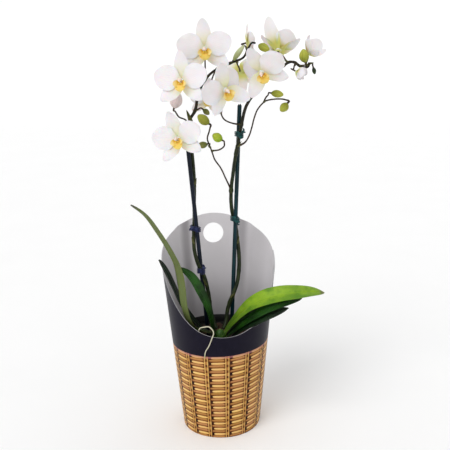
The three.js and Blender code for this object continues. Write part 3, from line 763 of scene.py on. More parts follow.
# ---------------------------------------------------------------- flower spikes
# radius at each end, the main stem's points, and each branch's end and points, as in the CAD
LEFT_SPIKE = {
    "radius": (1.9, 0.9),
    "main": [
        (-3.3, -3.5, 101.1), (-4.4, -2, 103), (-6.4, 1.2, 108.6), (-8.5, 3, 117.3), (-10.6, 3, 136.5),
        (-14.1, 1.4, 153.8), (-17.1, 0.8, 160.3), (-20.6, 1, 169.6), (-23.3, 2, 181.8), (-23.6, 4, 191.5),
        (-23.3, 6, 203), (-22.6, 6.6, 213), (-22.3, 5.6, 226), (-21.6, 4.6, 241), (-21.7, 2.3, 261),
        (-22.9, 0.6, 281), (-23.5, -1.6, 295), (-24, -4, 308.4), (-18.4, -5, 318.5), (-15.8, -3, 332),
        (-11.5, 2, 341), (-5, 7, 349), (4, 10, 355), (16, 12, 359.5), (27, 13, 364), (31, 14, 371),
        (35, 14, 377), (38, 12, 376.6),
    ],
    "branches": [
        ("bud_pale", [(-23.7, -4, 305), (-28, -6, 310), (-33.4, -9, 312.9), (-37, -12, 318.8)]),
        ("flower_2", [(-16, -3.5, 329), (-18.5, -8, 333), (-23, -18, 339)]),
        ("flower_3", [(-23, -2, 291), (-26, -7, 295), (-30, -16, 297)]),
        ("bud_small_left", [(-18.6, -5, 318), (-15, -5.4, 319.6)]),
        ("flower_1", [(-9, 4, 344.5), (-8.5, 0, 352), (-8.4, -8, 365)]),
        ("flower_10", [(4, 10, 355), (1.5, 16, 353), (-3, 20.5, 343)]),
        ("flower_5", [(20, 12.4, 361), (21.5, 13, 357.5)]),
        ("bud_slender", [(15, 11.9, 359.2), (16.4, 11.6, 360.2)]),
        ("flower_11", [(31, 14, 371), (30, 18, 373), (28, 25, 374.5)]),
    ],
}
RIGHT_SPIKE = {
    "radius": (2.0, 1.0),
    "main": [
        (3.65, -3.85, 101.1), (4.7, -2.6, 103), (6.8, 1, 109), (8, 3.4, 117.8), (11.2, 3.8, 128.3),
        (13.6, 3.2, 134), (17.9, 5, 145.3), (19.8, 7.3, 156.3), (20.5, 8.4, 166.6), (20, 9, 179),
        (19, 9.4, 189), (18.1, 9.8, 199), (17, 9.4, 207.2), (14.4, 7.6, 217), (13.3, 4.8, 230.5),
        (13.7, 2.6, 243), (15.3, 0.2, 256), (17.3, -2.4, 270.7), (19.3, -3.4, 280.3), (21, -3.8, 289),
        (22.8, -4, 299), (24.6, -3.8, 307.3), (26.3, -3.4, 314.6), (29, -3, 322), (36, -3, 332.5),
        (42, -1, 339), (50, 1, 345.5), (62, 1, 355), (68, 0, 359.7), (73.5, 0, 359.2), (77.1, 0, 356.5),
        (81.6, 1, 354.7), (85.4, 2, 355.3), (87, 3, 358.6),
    ],
    "branches": [
        ("bud_left_top", [
            (13.6, 3, 241), (8.7, 0, 252.2), (4.2, -3, 263), (-1.6, -6, 272.4), (-3.7, -7.5, 279),
            (-5.2, -8.5, 283.6), (-7.4, -10, 289.9), (-7.9, -11, 293.4), (-6.2, -12, 299), (-4.9, -12, 303.6),
        ]),
        ("bud_left_low", [(-5.1, -8.2, 284), (-6, -8.4, 285.6)]),
        ("bud_left_bright", [(-4.2, -7.9, 280.8), (3.1, -8, 281.8), (7.5, -8, 285.1), (7.6, -8, 288.6)]),
        ("flower_4", [
            (23.7, -3.9, 304), (15.1, -6, 305.9), (8.6, -9, 309.3), (5.4, -14, 315), (5, -22, 326),
        ]),
        ("bud_right_low", [
            (20.2, -3.6, 284), (26.6, -5, 287.4), (30.6, -7, 293.8), (32.8, -8, 300.4), (35.3, -9, 310.1),
            (38, -10, 317.5), (41.7, -10, 322.5), (46, -10, 326), (50.8, -10, 327.2), (56.3, -9, 327.5),
            (61.9, -8.5, 327.2), (65.4, -8, 326.2),
        ]),
        ("bud_right_top", [(44, -10, 324.6), (46, -10, 329), (48.4, -10, 331.8)]),
        ("flower_6", [(42, -1, 339), (43, -3, 344), (42.8, -9, 349.5)]),
        ("flower_7", [(67.4, 0, 359.3), (65.4, 1.4, 361.2), (62.6, 3.2, 365)]),
        ("flower_9", [(73.5, 0, 359.2), (72.5, -2.4, 356), (71.5, -4.5, 353.5)]),
        ("bud_end", [(77.3, 0, 356.4), (80, -0.5, 356.6)]),
        ("bud_tip", [(86.8, 3, 358), (89, 3.4, 358.4), (90.2, 2.6, 357)]),
        ("flower_8", [(84.9, 1.9, 355.2), (84.2, 3.2, 358.4), (85.6, 4, 362)]),
    ],
}

# at, heading, pitch, roll, size, closed: as in the CAD
FLOWERS = {
    "flower_1": ((-8.4, -24, 373.6), 0, 0, -4, 1, 0.12),
    "flower_2": ((-28.5, -36, 347.2), -16, 8, -2, 1, 0.15),
    "flower_3": ((-33.6, -28, 295.6), -18, 4, -16, 0.98, 0.15),
    "flower_4": ((8.7, -38, 339.2), 24, -10, -20, 1, 0.25),
    "flower_5": ((23.9, 20, 350.3), 172, -35, -171, 0.9, 0.1),
    "flower_6": ((42.2, -19, 352.5), -8, -18, -28, 1, 0.15),
    "flower_7": ((59.4, 12, 370), 166, 42, 28, 1.05, 0.9),
    "flower_8": ((86.5, 6, 366.5), 60, 45, 0, 0.68, 1),
    "flower_9": ((73.5, -8, 352), 70, -25, 0, 0.45, 1.2),
    "flower_10": ((-6.5, 13, 326.5), -4, 4, 6, 0.75, 0.1),
    "flower_11": ((31, 30, 376.5), 100, 12, 0, 0.68, 0.3),
}
# the tepals that lean or grow unlike the others: how far each leans, and its stretch
ODD_TEPALS = {
    ("flower_4", 74): (-0.8, 1), ("flower_6", -74): (-0.9, 1),
    ("flower_7", 0): (0, 1.2), ("flower_7", -74): (0, 0.78),
}
# base, tip, width
BUDS = {
    "bud_pale": ((-37.3, -13.6, 321.6), (-33, -11.5, 335), 11),
    "bud_small_left": ((-11.2, -5.2, 318.8), (-5.6, -4.4, 314.4), 5),
    "bud_slender": ((17.4, 11.4, 361.4), (27.4, 10.5, 375.3), 5),
    "bud_left_top": ((-6.2, -12, 306.6), (-16, -14, 314.5), 8.5),
    "bud_left_low": ((-8.1, -9, 287.4), (-17, -12, 286.3), 6),
    "bud_left_bright": ((5.6, -8, 290.6), (-3, -9, 296), 8),
    "bud_right_top": ((51, -10, 333), (62, -10, 331.6), 6.5),
    "bud_right_low": ((66, -8, 323.4), (60, -8, 316), 7.5),
    "bud_top": ((40.8, 8.6, 375), (50.4, 3.5, 370.6), 7.2),
    "bud_end": ((82.4, -1.6, 359.4), (80, -5, 371), 8.5),
    "bud_tip": ((90.4, 1.7, 354.4), (92, 1, 348.4), 3.6),
}
BOSS_BACK = 1.95  # from the middle of a flower of size 1 to its back
STALK_RADIUS = 0.72


def flower_frame(name):
    at, *angles = FLOWERS[name][:4]
    h, p, r = (rad(angle) for angle in angles)
    face = Vector((math.sin(h) * math.cos(p), -math.cos(h) * math.cos(p), math.sin(p)))
    level = Vector((-math.sin(h) * math.sin(p), math.cos(h) * math.sin(p), math.cos(p)))
    across = level.cross(face)
    up = level * math.cos(r) + across * math.sin(r)
    right = across * math.cos(r) - level * math.sin(r)
    return Matrix.Translation(at) @ Matrix((right, up, face)).transposed().to_4x4()


def stalk_end(name):
    """Two points that run into the back of a flower or a bud."""
    if name in BUDS:
        base, tip = (Vector(p) for p in BUDS[name][:2])
        out = (base - tip).normalized()
        return [base + out * 2.5, base - out * 0.4]
    turn = flower_frame(name)
    back = BOSS_BACK * FLOWERS[name][4]
    return [turn @ Vector((0, 0, -back - 4)), turn @ Vector((0, 0, -back + 0.6))]


def stalk_girth(u):
    """A stalk is thicker where it leaves the stem, and again at the flower or bud."""
    return STALK_RADIUS + 0.35 * math.exp(-(u / 0.08) ** 2) + 0.32 * smooth((u - 0.9) / 0.1)


def stem_look():
    look = Look("spike_stem", roughness=0.48, Specular_IOR_Level=0.22)
    along, around, kind = look.grain()
    _, _, z = look.parts(look.place)
    mottle = look.noise(0.22, 4.0, 0.6)
    streak = look.noise(1.0, 3.0, at=look.vector(around * 14.0, along * 5.0, 0.0))
    green = look.mix(mottle.fade(0.35, 0.7), (16, 28, 12), (48, 60, 24))
    green = look.mix(streak.fade(0.45, 0.75) * 0.4, green, (46, 34, 24))
    top = look.mix(mottle.fade(0.35, 0.7), (30, 24, 22), (56, 48, 34))
    tone = look.mix(z.fade(250, 345), green, top)
    stalk = look.mix(mottle.fade(0.35, 0.75), (42, 32, 28), (78, 62, 48))
    tone = look.mix(kind.fade(0.3, 0.7), tone, stalk)
    scale = look.mix(mottle, (58, 60, 28), (92, 92, 48))
    look.colour(look.mix(kind.fade(1.3, 1.7), tone, scale))
    look.rough(mottle * 0.25 + 0.3)
    look.bump(mottle + streak * 0.4, 0.18)
    return look.material


def bract(shape, at, up, out, length, width):
    """A small papery scale that wraps a joint of the stem."""
    up = Vector(up).normalized()
    out = (Vector(out) - up * Vector(out).dot(up)).normalized()
    side = up.cross(out)
    rings, grains = [], []
    for i in range(9):
        u = i / 8
        half = width / 2 * (1 - u ** 1.8) ** 0.8 + 0.08
        lean = 0.6 + 1.7 * u ** 1.5
        ring, grain = [], []
        for layer in (0.12, -0.12):
            for s in (range(-4, 5) if layer > 0 else range(4, -5, -1)):
                a = s / 4 * 1.15 * (1 - 0.3 * u)
                reach = lean + half * (math.cos(a) - 0.6) + layer
                ring.append(Vector(at) + up * (length * u) + out * reach + side * half * math.sin(a) * 1.3)
                grain.append((u, s / 4, 2))
        rings.append(ring)
        grains.append(grain)
    shape.loft(rings, grains)


def spike(name, plan, bracts):
    """A main stem with its branches, and a bract at each joint and at each of the given places."""
    luck = random.Random(len(plan["main"]))
    shape = Shape()
    first, last = plan["radius"]
    steps = 300
    main, _ = curve_points(plan["main"], steps)
    joints = []
    for _, points in plan["branches"]:
        spot = min(range(len(main)), key=lambda i: (main[i] - Vector(points[0])).length)
        joints.append(spot / steps)

    def girth(u):
        swell = sum(math.exp(-((u - j) / 0.006) ** 2) for j in joints)
        rest = sum(math.exp(-((u - j) / 0.004) ** 2) for j in (0.09, 0.2, 0.33, 0.47))
        return lerp(first, last, u * u) * (1 + min(0.35, 0.28 * swell) + 0.12 * rest)

    shape.tube(plan["main"], girth, kind=0, sides=18, step=1.1, lumps=0.06)
    for n, (target, points) in enumerate(plan["branches"]):
        shape.tube(points + stalk_end(target), stalk_girth, kind=1, sides=12, step=0.9, lumps=0.1, seed=n)
        start, ahead = Vector(points[0]), (Vector(points[1]) - Vector(points[0])).normalized()
        bract(shape, start + ahead * 0.2, ahead + Vector((0, 0, 0.5)), Vector((ahead.x, -0.6, -0.3)),
              luck.uniform(2.4, 3.6), luck.uniform(2.2, 2.8))
    for at, up, out, length, width in bracts:
        bract(shape, at, up, out, length, width)
    settle(make_object(name + "_stems", shape, [stem_look()], sharp=60), "stem", name)


spike("spike_left", LEFT_SPIKE, [
    ((-12.4, 1.4, 146), (-0.2, 0, 1), (-1, -0.6, 0), 7, 4),
    ((-23.7, 3.2, 188), (0, 0.1, 1), (-1, -0.7, 0), 7, 3.8),
    ((-21.2, 3.6, 247), (0, 0, 1), (1, -0.7, 0), 6.5, 3.4),
    ((-22.8, -4.4, 308), (-0.25, -0.1, 1), (-0.4, -1, 0), 12, 3.6),
])
spike("spike_right", RIGHT_SPIKE, [
    ((12.4, 3.1, 131), (0.4, 0, 1), (0.4, -1, 0), 7, 4),
    ((19.3, 8.8, 186), (-0.1, 0, 1), (1, -0.5, 0), 7, 3.8),
    ((13.4, 3.2, 238), (0.05, 0, 1), (-1, -0.4, 0), 6.5, 3.6),
    ((20.4, -4, 283.5), (0.2, 0, 1), (1, -0.4, 0), 6, 3.2),
    ((39.4, -3.4, 335.5), (0.55, 0, 0.8), (-0.6, -0.8, 0), 8, 4),
])

# ---------------------------------------------------------------- ties
# side, the stem that it holds, height, and the way and length of its tail
TIES = {
    "left_low": ("left", LEFT_SPIKE, 160.5, (3.4, -3.2, 6.4)),
    "left_high": ("left", LEFT_SPIKE, 203, (-4.2, -3.0, 1.6)),
    "right_low": ("right", RIGHT_SPIKE, 211.5, (3.8, -3.4, -3.0)),
    "right_high": ("right", RIGHT_SPIKE, 294.8, (4.6, -3.0, 4.6)),
}


def tie_look(name, dark, light):
    look = Look(name, roughness=0.4, Specular_IOR_Level=0.35)
    worn = look.noise(0.6, 3.0)
    look.colour(look.mix(worn.fade(0.38, 0.68), dark, light))
    look.rough(worn * 0.25 + 0.25)
    look.bump(worn, 0.1)
    return look.material


TIE_REACH, TIE_TURNS, TIE_HEIGHT = 3.15, 3, 4.8
WIRE_RADIUS, WIRE_END_RADIUS = 0.86, 0.5


def at_height(points, z):
    path, _ = curve_points(points, 400)
    return min(path, key=lambda p: abs(p.z - z))


def tie(name, look):
    """Plastic-covered wire: three turns round the stake and the stem, and a twisted pair of ends."""
    side, plan, z, tail = TIES[name]
    rod, stem = stake_point(side, z), at_height(plan["main"], z)
    apart = stem - rod
    apart.z = 0
    apart.normalize()
    beside = Vector((-apart.y, apart.x, 0))
    front = Vector((0, -1, 0))
    knot = (rod + stem) / 2 + front * (TIE_REACH + 0.9)
    knot.z = z
    start = math.atan2(front.dot(beside), front.dot(apart))
    turns = []
    steps = 84
    for i in range(steps + 1):
        angle = start + 2 * math.pi * (0.03 + (TIE_TURNS - 0.06) * i / steps)
        out = apart * math.cos(angle) + beside * math.sin(angle)
        centre = rod.lerp(stem, smooth(0.5 + 0.9 * math.cos(angle)))
        point = centre + out * (TIE_REACH + 0.12 * math.sin(5 * angle))
        point.z = z + TIE_HEIGHT * (i / steps - 0.5) + 0.4 * math.sin(angle * 2.0 + len(name))
        turns.append(point)
    ahead = Vector(tail).normalized()
    side_way = ahead.orthogonal().normalized()
    other = ahead.cross(side_way)
    ends = []
    for phase in (0, math.pi):
        end = []
        for i in range(15):
            t = i / 14
            turn = phase + t * 2.6 * math.pi
            wide = 0.62 + 1.5 * smooth((t - 0.72) / 0.28)
            out = side_way * math.cos(turn) + other * math.sin(turn)
            end.append(knot + ahead * (Vector(tail).length * t) + out * wide)
        ends.append(end)
    shape = Shape()
    thin = WIRE_RADIUS - WIRE_END_RADIUS
    shape.tube(ends[0][::-1] + turns + ends[1],
               lambda u: WIRE_RADIUS - thin * smooth((abs(u - 0.5) - 0.488) / 0.012),
               sides=10, count=380)
    wire = make_object("wire_" + name, shape, [look], sharp=60)
    settle(wire, "tie_" + SIDE_COLOUR[side], "tie_" + name)


tie_navy = tie_look("tie_navy", (12, 20, 58), (34, 46, 92))
tie_teal = tie_look("tie_teal", (0, 40, 44), (2, 78, 76))
for tie_name in TIES:
    tie(tie_name, tie_navy if tie_name.startswith("left") else tie_teal)

# ---------------------------------------------------------------- leaves
CROWN_AT = Vector((0, -7.5, 92))
LEAF_STEPS, LEAF_CELLS = 90, 9  # along a blade, and across half of it
LEAF_WIDEST = 0.55  # how far along a blade is widest, 0 to 1
LEAF_THICK = (1.5, 0.9)  # along the middle, at the foot and at the tip
# spine, upper side's way at each end, width, fold, look
LEAVES = {
    "leaf_left_tall": ([
        (-7.2, -9.6, 98.5), (-19, -20, 106), (-30, -29, 119), (-35.3, -31, 137), (-37, -30.5, 155),
        (-40, -30, 174.5), (-47.5, -29, 192.5), (-57.3, -27, 209.4), (-68, -25, 225), (-80, -22, 234.3),
    ], ((0.7, 0.35, 0.6), (0.45, 0.5, 0.75)), 15, 0.3, "leaf_olive"),
    "leaf_left_small": ([
        (-5.8, -11.6, 102), (-8, -13.5, 109), (-11.5, -16, 127), (-19.3, -18, 146.6), (-27.6, -18, 161),
        (-38, -16, 170),
    ], ((0.75, -0.6, 0.3), (0.6, -0.5, 0.6)), 12, 0.4, "leaf_mid"),
    "leaf_left_low": ([
        (-7.4, -5, 94.5), (-19, -7, 104), (-28.5, -11, 116), (-37, -15.5, 131), (-43.5, -19.5, 149),
        (-49.5, -22, 166), (-56, -24, 181),
    ], ((0.5, -0.1, 0.85), (0.75, -0.3, 0.6)), 14, 0.3, "leaf_dark"),
    "leaf_right_top": ([
        (6.6, -9.5, 101.5), (17.5, -17, 118.5), (29.4, -24, 132.5), (42.5, -30, 141.5), (57.4, -33, 146.5),
        (72.4, -34, 148.5), (87.6, -33, 148.8), (99.5, -31, 147),
    ], ((-0.6, -0.45, 0.7), (0, -0.4, 0.94)), 20, 0.2, "leaf_light"),
    "leaf_right_mid": ([
        (7.6, -8.2, 95.5), (14.5, -14, 105), (25.8, -23.5, 119), (38.6, -31.5, 130.5), (52, -36.5, 138.5),
        (64.9, -37.2, 142.2), (77.9, -36, 144.1),
    ], ((-0.55, -0.4, 0.73), (-0.05, -0.4, 0.9)), 19, 0.15, "leaf_mid"),
    "leaf_right_low": ([
        (8, -8.2, 90.5), (15.5, -16, 100.5), (25, -26.6, 113), (34.5, -35.2, 122), (44, -40, 128.4),
        (54, -42.6, 133.2), (64.5, -43.6, 137.4),
    ], ((-0.5, -0.4, 0.76), (-0.1, -0.4, 0.9)), 14, 0.12, "leaf_dark"),
}


def leaf_look(name, deep, bright, under, tip, gloss):
    shade = tuple(c * 0.45 for c in srgb(*deep)[:3]) + (1,)
    look = Look(name, roughness=gloss, Specular_IOR_Level=0.3,
                Subsurface_Weight=0.08, Subsurface_Scale=0.002)
    along, across, side = look.grain()
    mottle = look.noise(0.06, 4.0, 0.6)
    fine = look.noise(0.5, 4.0, 0.65)
    veins = (across * 15.0 + fine * 0.5).fract().band(0.5, 0.1, 0.35)
    tone = look.layers(
        look.mix(mottle.fade(0.32, 0.68), deep, bright),
        (veins * 0.14, bright),
        (fine.fade(0.5, 0.8) * 0.18, under),
        (across.abs().fade(0.07, 0.0) * 0.45, bright),
        (across.abs().fade(0.93, 1.0) * 0.5, under),
        (side.fade(0.6, 0.4) * 0.8, under),
        # painted shade: the foot of the blade darker, down among the other leaves
        (along.fade(0.42, 0.02) * 0.75, shade),
        # painted shade: one half of the blade darker, as on the side turned from the light
        (across.fade(0.1, 0.9) * 0.4, deep),
        ((along + fine * 0.03).fade(0.955, 1.0) * 0.85, tip),
    )
    look.colour(tone)
    look.rough(fine * 0.22 + (gloss - 0.08))
    look.bump(veins * 0.5 + fine, 0.14)
    return look.material


def leaf(name, plan, look):
    """A folded strap with a sunken midrib and rippled edges, from inside the crown to its tip."""
    spine, (base_face, tip_face), width, fold, _ = plan
    base_face, tip_face = Vector(base_face), Vector(tip_face)
    luck = random.Random(name)
    phase = luck.uniform(0, 6)
    root = CROWN_AT.lerp(Vector(spine[0]), 0.3) - Vector((0, 0, 3))
    points, length = curve_points([root] + spine, LEAF_STEPS)
    hidden = (Vector(spine[0]) - root).length / length
    rings, grains = [], []
    across = [k / LEAF_CELLS for k in range(-LEAF_CELLS, LEAF_CELLS + 1)]
    for i, (centre, (ahead, _, _)) in enumerate(zip(points, transport(points))):
        u = (i / LEAF_STEPS - hidden) / (1 - hidden)
        v = max(u, 0)
        side = ahead.cross(base_face.lerp(tip_face, v)).normalized()
        upper = side.cross(ahead)
        if v < LEAF_WIDEST:
            spread = 1 - 0.7 * (1 - v / LEAF_WIDEST) ** 1.5
        else:
            spread = (1 - ((v - LEAF_WIDEST) / (1.002 - LEAF_WIDEST)) ** 2.5) ** 0.6
        half = width / 2 * spread * (1 + min(u, 0) * 2.5) * (1 + 0.02 * math.sin(9 * v + phase))
        thick = lerp(*LEAF_THICK, v)
        ring, grain = [], []
        for layer in (1, -1):
            for s in (across if layer > 0 else across[::-1]):
                rise = fold * half * abs(s) ** 1.4
                ripple = math.sin(7 * v + phase + (1.5 if s > 0 else 0))
                rise += 0.5 * ripple * abs(s) ** 3 * smooth(v * 4)
                rise -= 0.45 * math.exp(-(s / 0.12) ** 2) * (1 if layer > 0 else 0.9) * smooth(v * 5)
                body = thick / 2 * (1 - 0.82 * abs(s) ** 2.5) * layer
                ring.append(centre + side * (s * half) + upper * (rise + body))
                grain.append((v, s, 1 if layer > 0 else 0))
        rings.append(ring)
        grains.append(grain)
    shape = Shape()
    shape.loft(rings, grains)
    settle(make_object(name + "_blade", shape, [look], sharp=70), plan[4], name)


# deep, bright, underside and tip colours, and roughness. The three looks after the olive one are one leaf
# green with painted light: lit, in half shade and in deep shade
LEAF_LOOKS = {
    "leaf_olive": ((58, 74, 26), (92, 108, 48), (96, 108, 56), (80, 80, 66), 0.42),
    "leaf_light": ((78, 126, 12), (142, 178, 32), (98, 138, 34), (116, 118, 80), 0.36),
    "leaf_mid": ((4, 36, 0), (36, 92, 8), (22, 60, 12), (50, 64, 28), 0.36),
    "leaf_dark": ((2, 20, 2), (14, 42, 8), (18, 38, 12), (36, 42, 26), 0.38),
    "crown_green": ((30, 66, 18), (70, 112, 36), (92, 120, 50), (128, 128, 74), 0.36),
}
leaf_looks = {name: leaf_look(name, *colours) for name, colours in LEAF_LOOKS.items()}
for leaf_name, leaf_plan in LEAVES.items():
    leaf(leaf_name, leaf_plan, leaf_looks[leaf_plan[4]])


def crown():
    shape = Shape()
    shape.blob((0, -7.5, 91), (6.1, 5.0, 11.5), rows=16, sides=24, kind=1)
    for n, (way, high) in enumerate(((-1, 84), (1, 82), (-1, 90), (1, 88))):
        bract(shape, (way * 1.2, -7.5, high), (way * 0.25, -0.1, 1), (way, -0.25 - 0.2 * n, 0), 15, 9.5)
    settle(make_object("crown_sheaths", shape, [leaf_looks["crown_green"]], sharp=60), "crown", "crown")


crown()


# ---------------------------------------------------------------- air root
AIR_ROOT = [
    (-6, -13, 94), (-13.5, -27, 97), (-19.5, -37, 102), (-20.3, -41.5, 110), (-19.8, -43.4, 116.5),
    (-18.2, -47, 120.6), (-15, -50, 122.6), (-10, -52, 123.6), (-6, -53.5, 119), (-8, -52.2, 111),
    (-11, -50.6, 103), (-14, -49, 97), (-15, -48.2, 90),
]


def air_root():
    look = Look("root_cream", roughness=0.75, Specular_IOR_Level=0.25)
    along, _, _ = look.grain()
    flake = look.noise(0.7, 4.0, 0.65)
    tone = look.mix(flake, (178, 172, 144), (214, 210, 190))
    tone = look.mix(look.cells(0.9).fade(0.2, 0.05) * 0.35, tone, (150, 138, 96))
    look.colour(look.mix(along.fade(0.93, 1.0) * 0.7, tone, (140, 160, 84)))
    look.bump(flake, 0.15)
    shape = Shape()
    shape.tube(AIR_ROOT, lambda u: lerp(0.62, 0.46, u) * (1 - 0.6 * smooth((u - 0.985) / 0.015)),
               sides=12, step=0.7, lumps=0.22)
    settle(make_object("air_root_strand", shape, [look.material], sharp=60), "root", "air_root")


air_root()

# ---------------------------------------------------------------- flowers
# turn, length, width, layer, waist, is it a petal
TEPALS = (
    (0, 26.5, 13.5, -0.7, 0.0, 0),
    (130, 25, 14, -0.9, 0.05, 0),
    (-130, 25, 14, -0.9, 0.05, 0),
    (74, 25, 22, 0.5, -0.15, 1),
    (-74, 25, 22, 0.5, -0.15, 1),
)


def petal_look():
    look = Look("petal_white", roughness=0.5, Subsurface_Weight=0.22, Subsurface_Scale=0.0025)
    along, across, side = look.grain()
    soft = look.noise(0.05, 3.0)
    fine = look.noise(0.9, 4.0, 0.6)
    tone = look.mix(soft.fade(0.35, 0.65), (234, 230, 232), (240, 233, 237))
    veins = (across * 6.5 + along * 0.6 + soft * 1.5).fract().band(0.5, 0.03, 0.16)
    tone = look.mix(veins * along.fade(1.0, 0.3) * 0.1, tone, (206, 186, 200))
    tone = look.mix(fine.fade(0.4, 0.8) * 0.05, tone, (214, 206, 212))
    is_back = side.fade(0.55, 0.65)
    is_sepal = side.fract().fade(0.1, 0.2)
    tone = look.layers(
        tone,
        (is_sepal * along.fade(0.75, 0.12) * 0.5, (222, 224, 146)),
        (is_back * along.fade(0.5, 0.2) * 0.9, (204, 202, 84)),
        (along.fade(0.3, 0.04) * 0.45, (216, 216, 132)),
    )
    look.colour(tone)
    look.rough(fine * 0.2 + 0.4)
    look.bump(veins * 0.7 + fine * 0.5, 0.1)
    return look.material


def lip_look():
    look = Look("lip_yellow", roughness=0.42, Coat_Weight=0.1, Coat_Roughness=0.3,
                Subsurface_Weight=0.15, Subsurface_Scale=0.0015)
    along, across, kind = look.grain()
    fine = look.noise(0.6, 4.0, 0.6)
    spots = look.cells(1.3).fade(0.26, 0.16)
    tone = look.layers(
        look.mix(fine, (232, 188, 48), (242, 212, 84)),
        (along.fade(0.5, 0.0) * 0.75, (216, 124, 20)),
        (along.fade(0.7, 1.0) * 0.5, (206, 196, 84)),
        (spots * along.fade(0.5, 0.25) * 0.5, (158, 54, 20)),
    )
    wing = look.mix(along.fade(0.2, 0.95), (236, 186, 52), (250, 236, 196))
    wing = look.mix(spots * along.fade(0.55, 0.3) * 0.35, wing, (178, 72, 36))
    tone = look.mix(kind.fade(0.4, 0.6), tone, wing)
    pale = look.mix(along.fade(0.4, 0.9), (226, 206, 176), (236, 218, 208))
    look.colour(look.mix(kind.fade(1.4, 1.6), tone, pale))
    look.rough(fine * 0.2 + 0.32)
    look.bump(fine, 0.12)
    return look.material


def sheet(shape, turn, length, width, waist, start, layer, rise, bend, cup, grain_kind,
          thick=(0.9, 0.3), ruffle=0.0, seed=0.0, claw=0.62, steps=24, cells=7, outline=None, keel=0.14):
    """A thin closed blade in the flower's frame, on the same lines as the CAD's."""
    angle = rad(turn)
    out = Vector((math.sin(angle), math.cos(angle), 0))
    side = Vector((math.cos(angle), -math.sin(angle), 0))
    across = [k / cells for k in range(-cells, cells + 1)]
    rings, grains = [], []
    for i in range(steps + 1):
        u = 0.015 + 0.985 * (0.5 - 0.5 * math.cos(math.pi * i / steps))
        along = length * (math.sin(rise + bend * u) - math.sin(rise)) / bend
        lift = layer + length * (math.cos(rise) - math.cos(rise + bend * u)) / bend
        swell = outline(u) if outline else math.sin(math.pi * (0.05 + 0.95 * u ** (1 - waist))) ** 0.55
        half = max(0.12, width / 2 * swell * lerp(claw, 1, smooth(u / 0.3)))
        ring, grain = [], []
        for face in (1, -1):
            for s in (across if face > 0 else across[::-1]):
                flat = Vector(start) + out * along + side * (s * half)
                wave = 0.55 * noise.noise(Vector((flat.x * 0.13, flat.y * 0.13, seed))) * smooth(u * 2.5)
                frill = math.sin(13 * u + seed * 1.7 + (2 if s > 0 else 0))
                wave += ruffle * abs(s) ** 3 * frill * smooth(u * 2)
                wave -= keel * math.exp(-(s / 0.1) ** 2) * math.sin(math.pi * min(1, u * 1.05))
                body = lerp(*thick, smooth(u * 1.6)) / 2 * (1 - 0.7 * s * s) * face
                ring.append(flat + Vector((0, 0, lift + cup * half * s * s + wave + body)))
                is_back = 1.0 if face < 0 and grain_kind < 0.4 else 0.0
                grain.append((u, s, grain_kind + is_back))
        rings.append(ring)
        grains.append(grain)
    shape.loft(rings, grains)


def flower(name, petal_material, lip_material):
    size, closed = FLOWERS[name][4:]
    luck = random.Random(name)
    frame_matrix = flower_frame(name)
    shape = Shape()
    for turn, length, width, layer, waist, is_petal in TEPALS:
        own_rise, stretch = ODD_TEPALS.get((name, turn), (0, 1))
        sheet(shape, turn + luck.uniform(-2.5, 2.5), length * stretch * luck.uniform(0.97, 1.03),
              width * luck.uniform(0.96, 1.04), waist, (0, 0, 0), layer,
              closed * 0.5 + own_rise + luck.uniform(-0.03, 0.05),
              0.01 + closed * 0.6 + luck.uniform(0.0, 0.12),
              0.05 if is_petal else -0.06 + closed * 0.1, 0.0 if is_petal else 0.25,
              ruffle=0.6 if is_petal else 0.35, seed=luck.uniform(0, 40), claw=0.5 if is_petal else 0.7)
    shape.blob((0, 0, -0.1), (2.5, 2.5, 2.0), kind=1.0, rows=10, sides=16)
    shape.moved(frame_matrix @ Matrix.Scale(size, 4))
    settle(make_object(name + "_petals", shape, [petal_material], sharp=75), "petal", name + "_tepals")

    lip = Shape()
    lip.tube([(0, -0.6, 1.2), (0, 0.7, 3.6), (0, 0.9, 6.0), (0, 0.2, 8.2)],
             lambda u: 1.25 + 0.35 * math.sin(math.pi * u) - 0.8 * smooth((u - 0.86) / 0.14),
             kind=2, sides=16, step=0.5)
    lip.blob((0, 0.0, 8.1), (1.1, 0.95, 0.9), kind=2)
    for way in (-1, 1):
        lip.blob((way * 0.95, -2.3, 5.4), (1.0, 0.9, 1.0), kind=0, rows=8, sides=12)
        sheet(lip, way * 98, 6.8, 6.2, 0.1, (way * 1.1, -2.1, 3.0), 0.2, 0.95, -0.55, 0.34, 0.5,
              thick=(0.7, 0.3), ruffle=0.2, seed=luck.uniform(0, 9), claw=0.7, steps=16, cells=5)
    sheet(lip, 180, 8.8, 10.4, 0.1, (0, -1.4, 3.4), 0.1, 0.75, -1.0, 0.16, 0.45,
          thick=(0.9, 0.35), ruffle=0.25, seed=luck.uniform(0, 9), claw=0.8, steps=18, cells=7, keel=0.4,
          outline=lambda u: math.sin(math.pi * (0.14 + 0.83 * u)) ** 0.7)
    shrunk = size * (1 - 0.25 * closed)
    lip.moved(frame_matrix @ Matrix.Diagonal((shrunk, shrunk, size, 1)))
    settle(make_object(name + "_column_and_lip", lip, [lip_material], sharp=75), "lip", name + "_lip")


petal_white, lip_yellow = petal_look(), lip_look()
for flower_name in FLOWERS:
    flower(flower_name, petal_white, lip_yellow)


# ---------------------------------------------------------------- buds
def bud_look(name, base, tip, seam):
    look = Look(name, roughness=0.48, Specular_IOR_Level=0.25,
                Subsurface_Weight=0.1, Subsurface_Scale=0.002)
    along, around, _ = look.grain()
    soft = look.noise(0.25, 4.0, 0.6)
    lines = (around * 24.0 + soft).fract().band(0.5, 0.12, 0.3)
    tone = look.mix((along + soft * 0.3).fade(0.15, 1.1), base, tip)
    tone = look.mix((around * 3.0).fract().band(0.5, 0.015, 0.05) * 0.4, tone, seam)
    tone = look.mix(lines * 0.12, tone, seam)
    look.colour(look.mix(soft.fade(0.5, 0.85) * 0.3, tone, seam))
    look.rough(soft * 0.2 + 0.35)
    look.bump(lines * 0.4 + soft, 0.14)
    return look.material


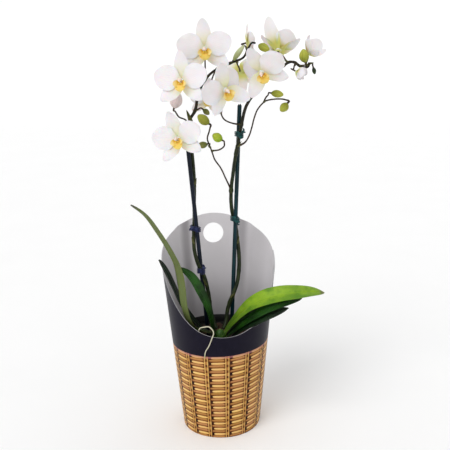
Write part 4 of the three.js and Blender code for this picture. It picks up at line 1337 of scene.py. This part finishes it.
def bud(name, look):
    base, tip, width = BUDS[name]
    start, end = Vector(base), Vector(tip)
    axis = end - start
    length = axis.length
    axis.normalize()
    side = Vector((0, 1, 0)).cross(axis).normalized()
    other = axis.cross(side)
    rings, grains = [], []
    rows, sides = 26, 30
    for i in range(rows + 1):
        u = i / rows
        t = 0.5 - 0.5 * math.cos(math.pi * u)
        girth = width / 2 * 1.06 * math.sin(math.pi * (0.03 + 0.93 * t ** 0.9)) ** 0.68
        hook = side * (0.05 * length * (t - 0.4) ** 2) - other * (0.04 * length * t)
        ring, grain = [], []
        for s in range(sides):
            angle = 2 * math.pi * s / sides
            seam = abs((3 * s / sides + 0.5) % 1 - 0.5) * 2  # 0 on a seam, 1 between
            r = girth * (0.93 + 0.09 * smooth(seam * 2.2)) * (1 + 0.05 * math.sin(angle + 1) * t)
            out = side * math.cos(angle) + other * math.sin(angle)
            ring.append(start + axis * (t * length) + hook + out * r)
            grain.append((t, (s / sides + 1 / 6) % 1.0, 0))
        rings.append(ring)
        grains.append(grain)
    shape = Shape()
    shape.loft(rings, grains)
    settle(make_object(name + "_closed", shape, [look], sharp=75), "bud", name)


# base, tip and seam colours
BUD_COLOURS = {
    "bud_green": ((134, 138, 38), (178, 182, 72), (104, 106, 30)),
    "bud_bright": ((140, 168, 28), (190, 206, 70), (120, 142, 34)),
    "bud_olive": ((96, 104, 40), (140, 142, 76), (78, 72, 44)),
    "bud_blush": ((220, 204, 198), (236, 222, 226), (206, 178, 188)),
    "bud_dark": ((24, 40, 18), (46, 64, 30), (18, 30, 14)),
    "bud_slim": ((150, 160, 100), (198, 204, 164), (134, 140, 92)),
}
ODD_BUDS = {
    "bud_pale": "bud_blush", "bud_tip": "bud_dark", "bud_slender": "bud_slim",
    "bud_left_low": "bud_olive", "bud_left_bright": "bud_bright", "bud_small_left": "bud_olive",
}
bud_looks = {name: bud_look(name, *colours) for name, colours in BUD_COLOURS.items()}
for bud_name in BUDS:
    bud(bud_name, bud_looks[ODD_BUDS.get(bud_name, "bud_green")])
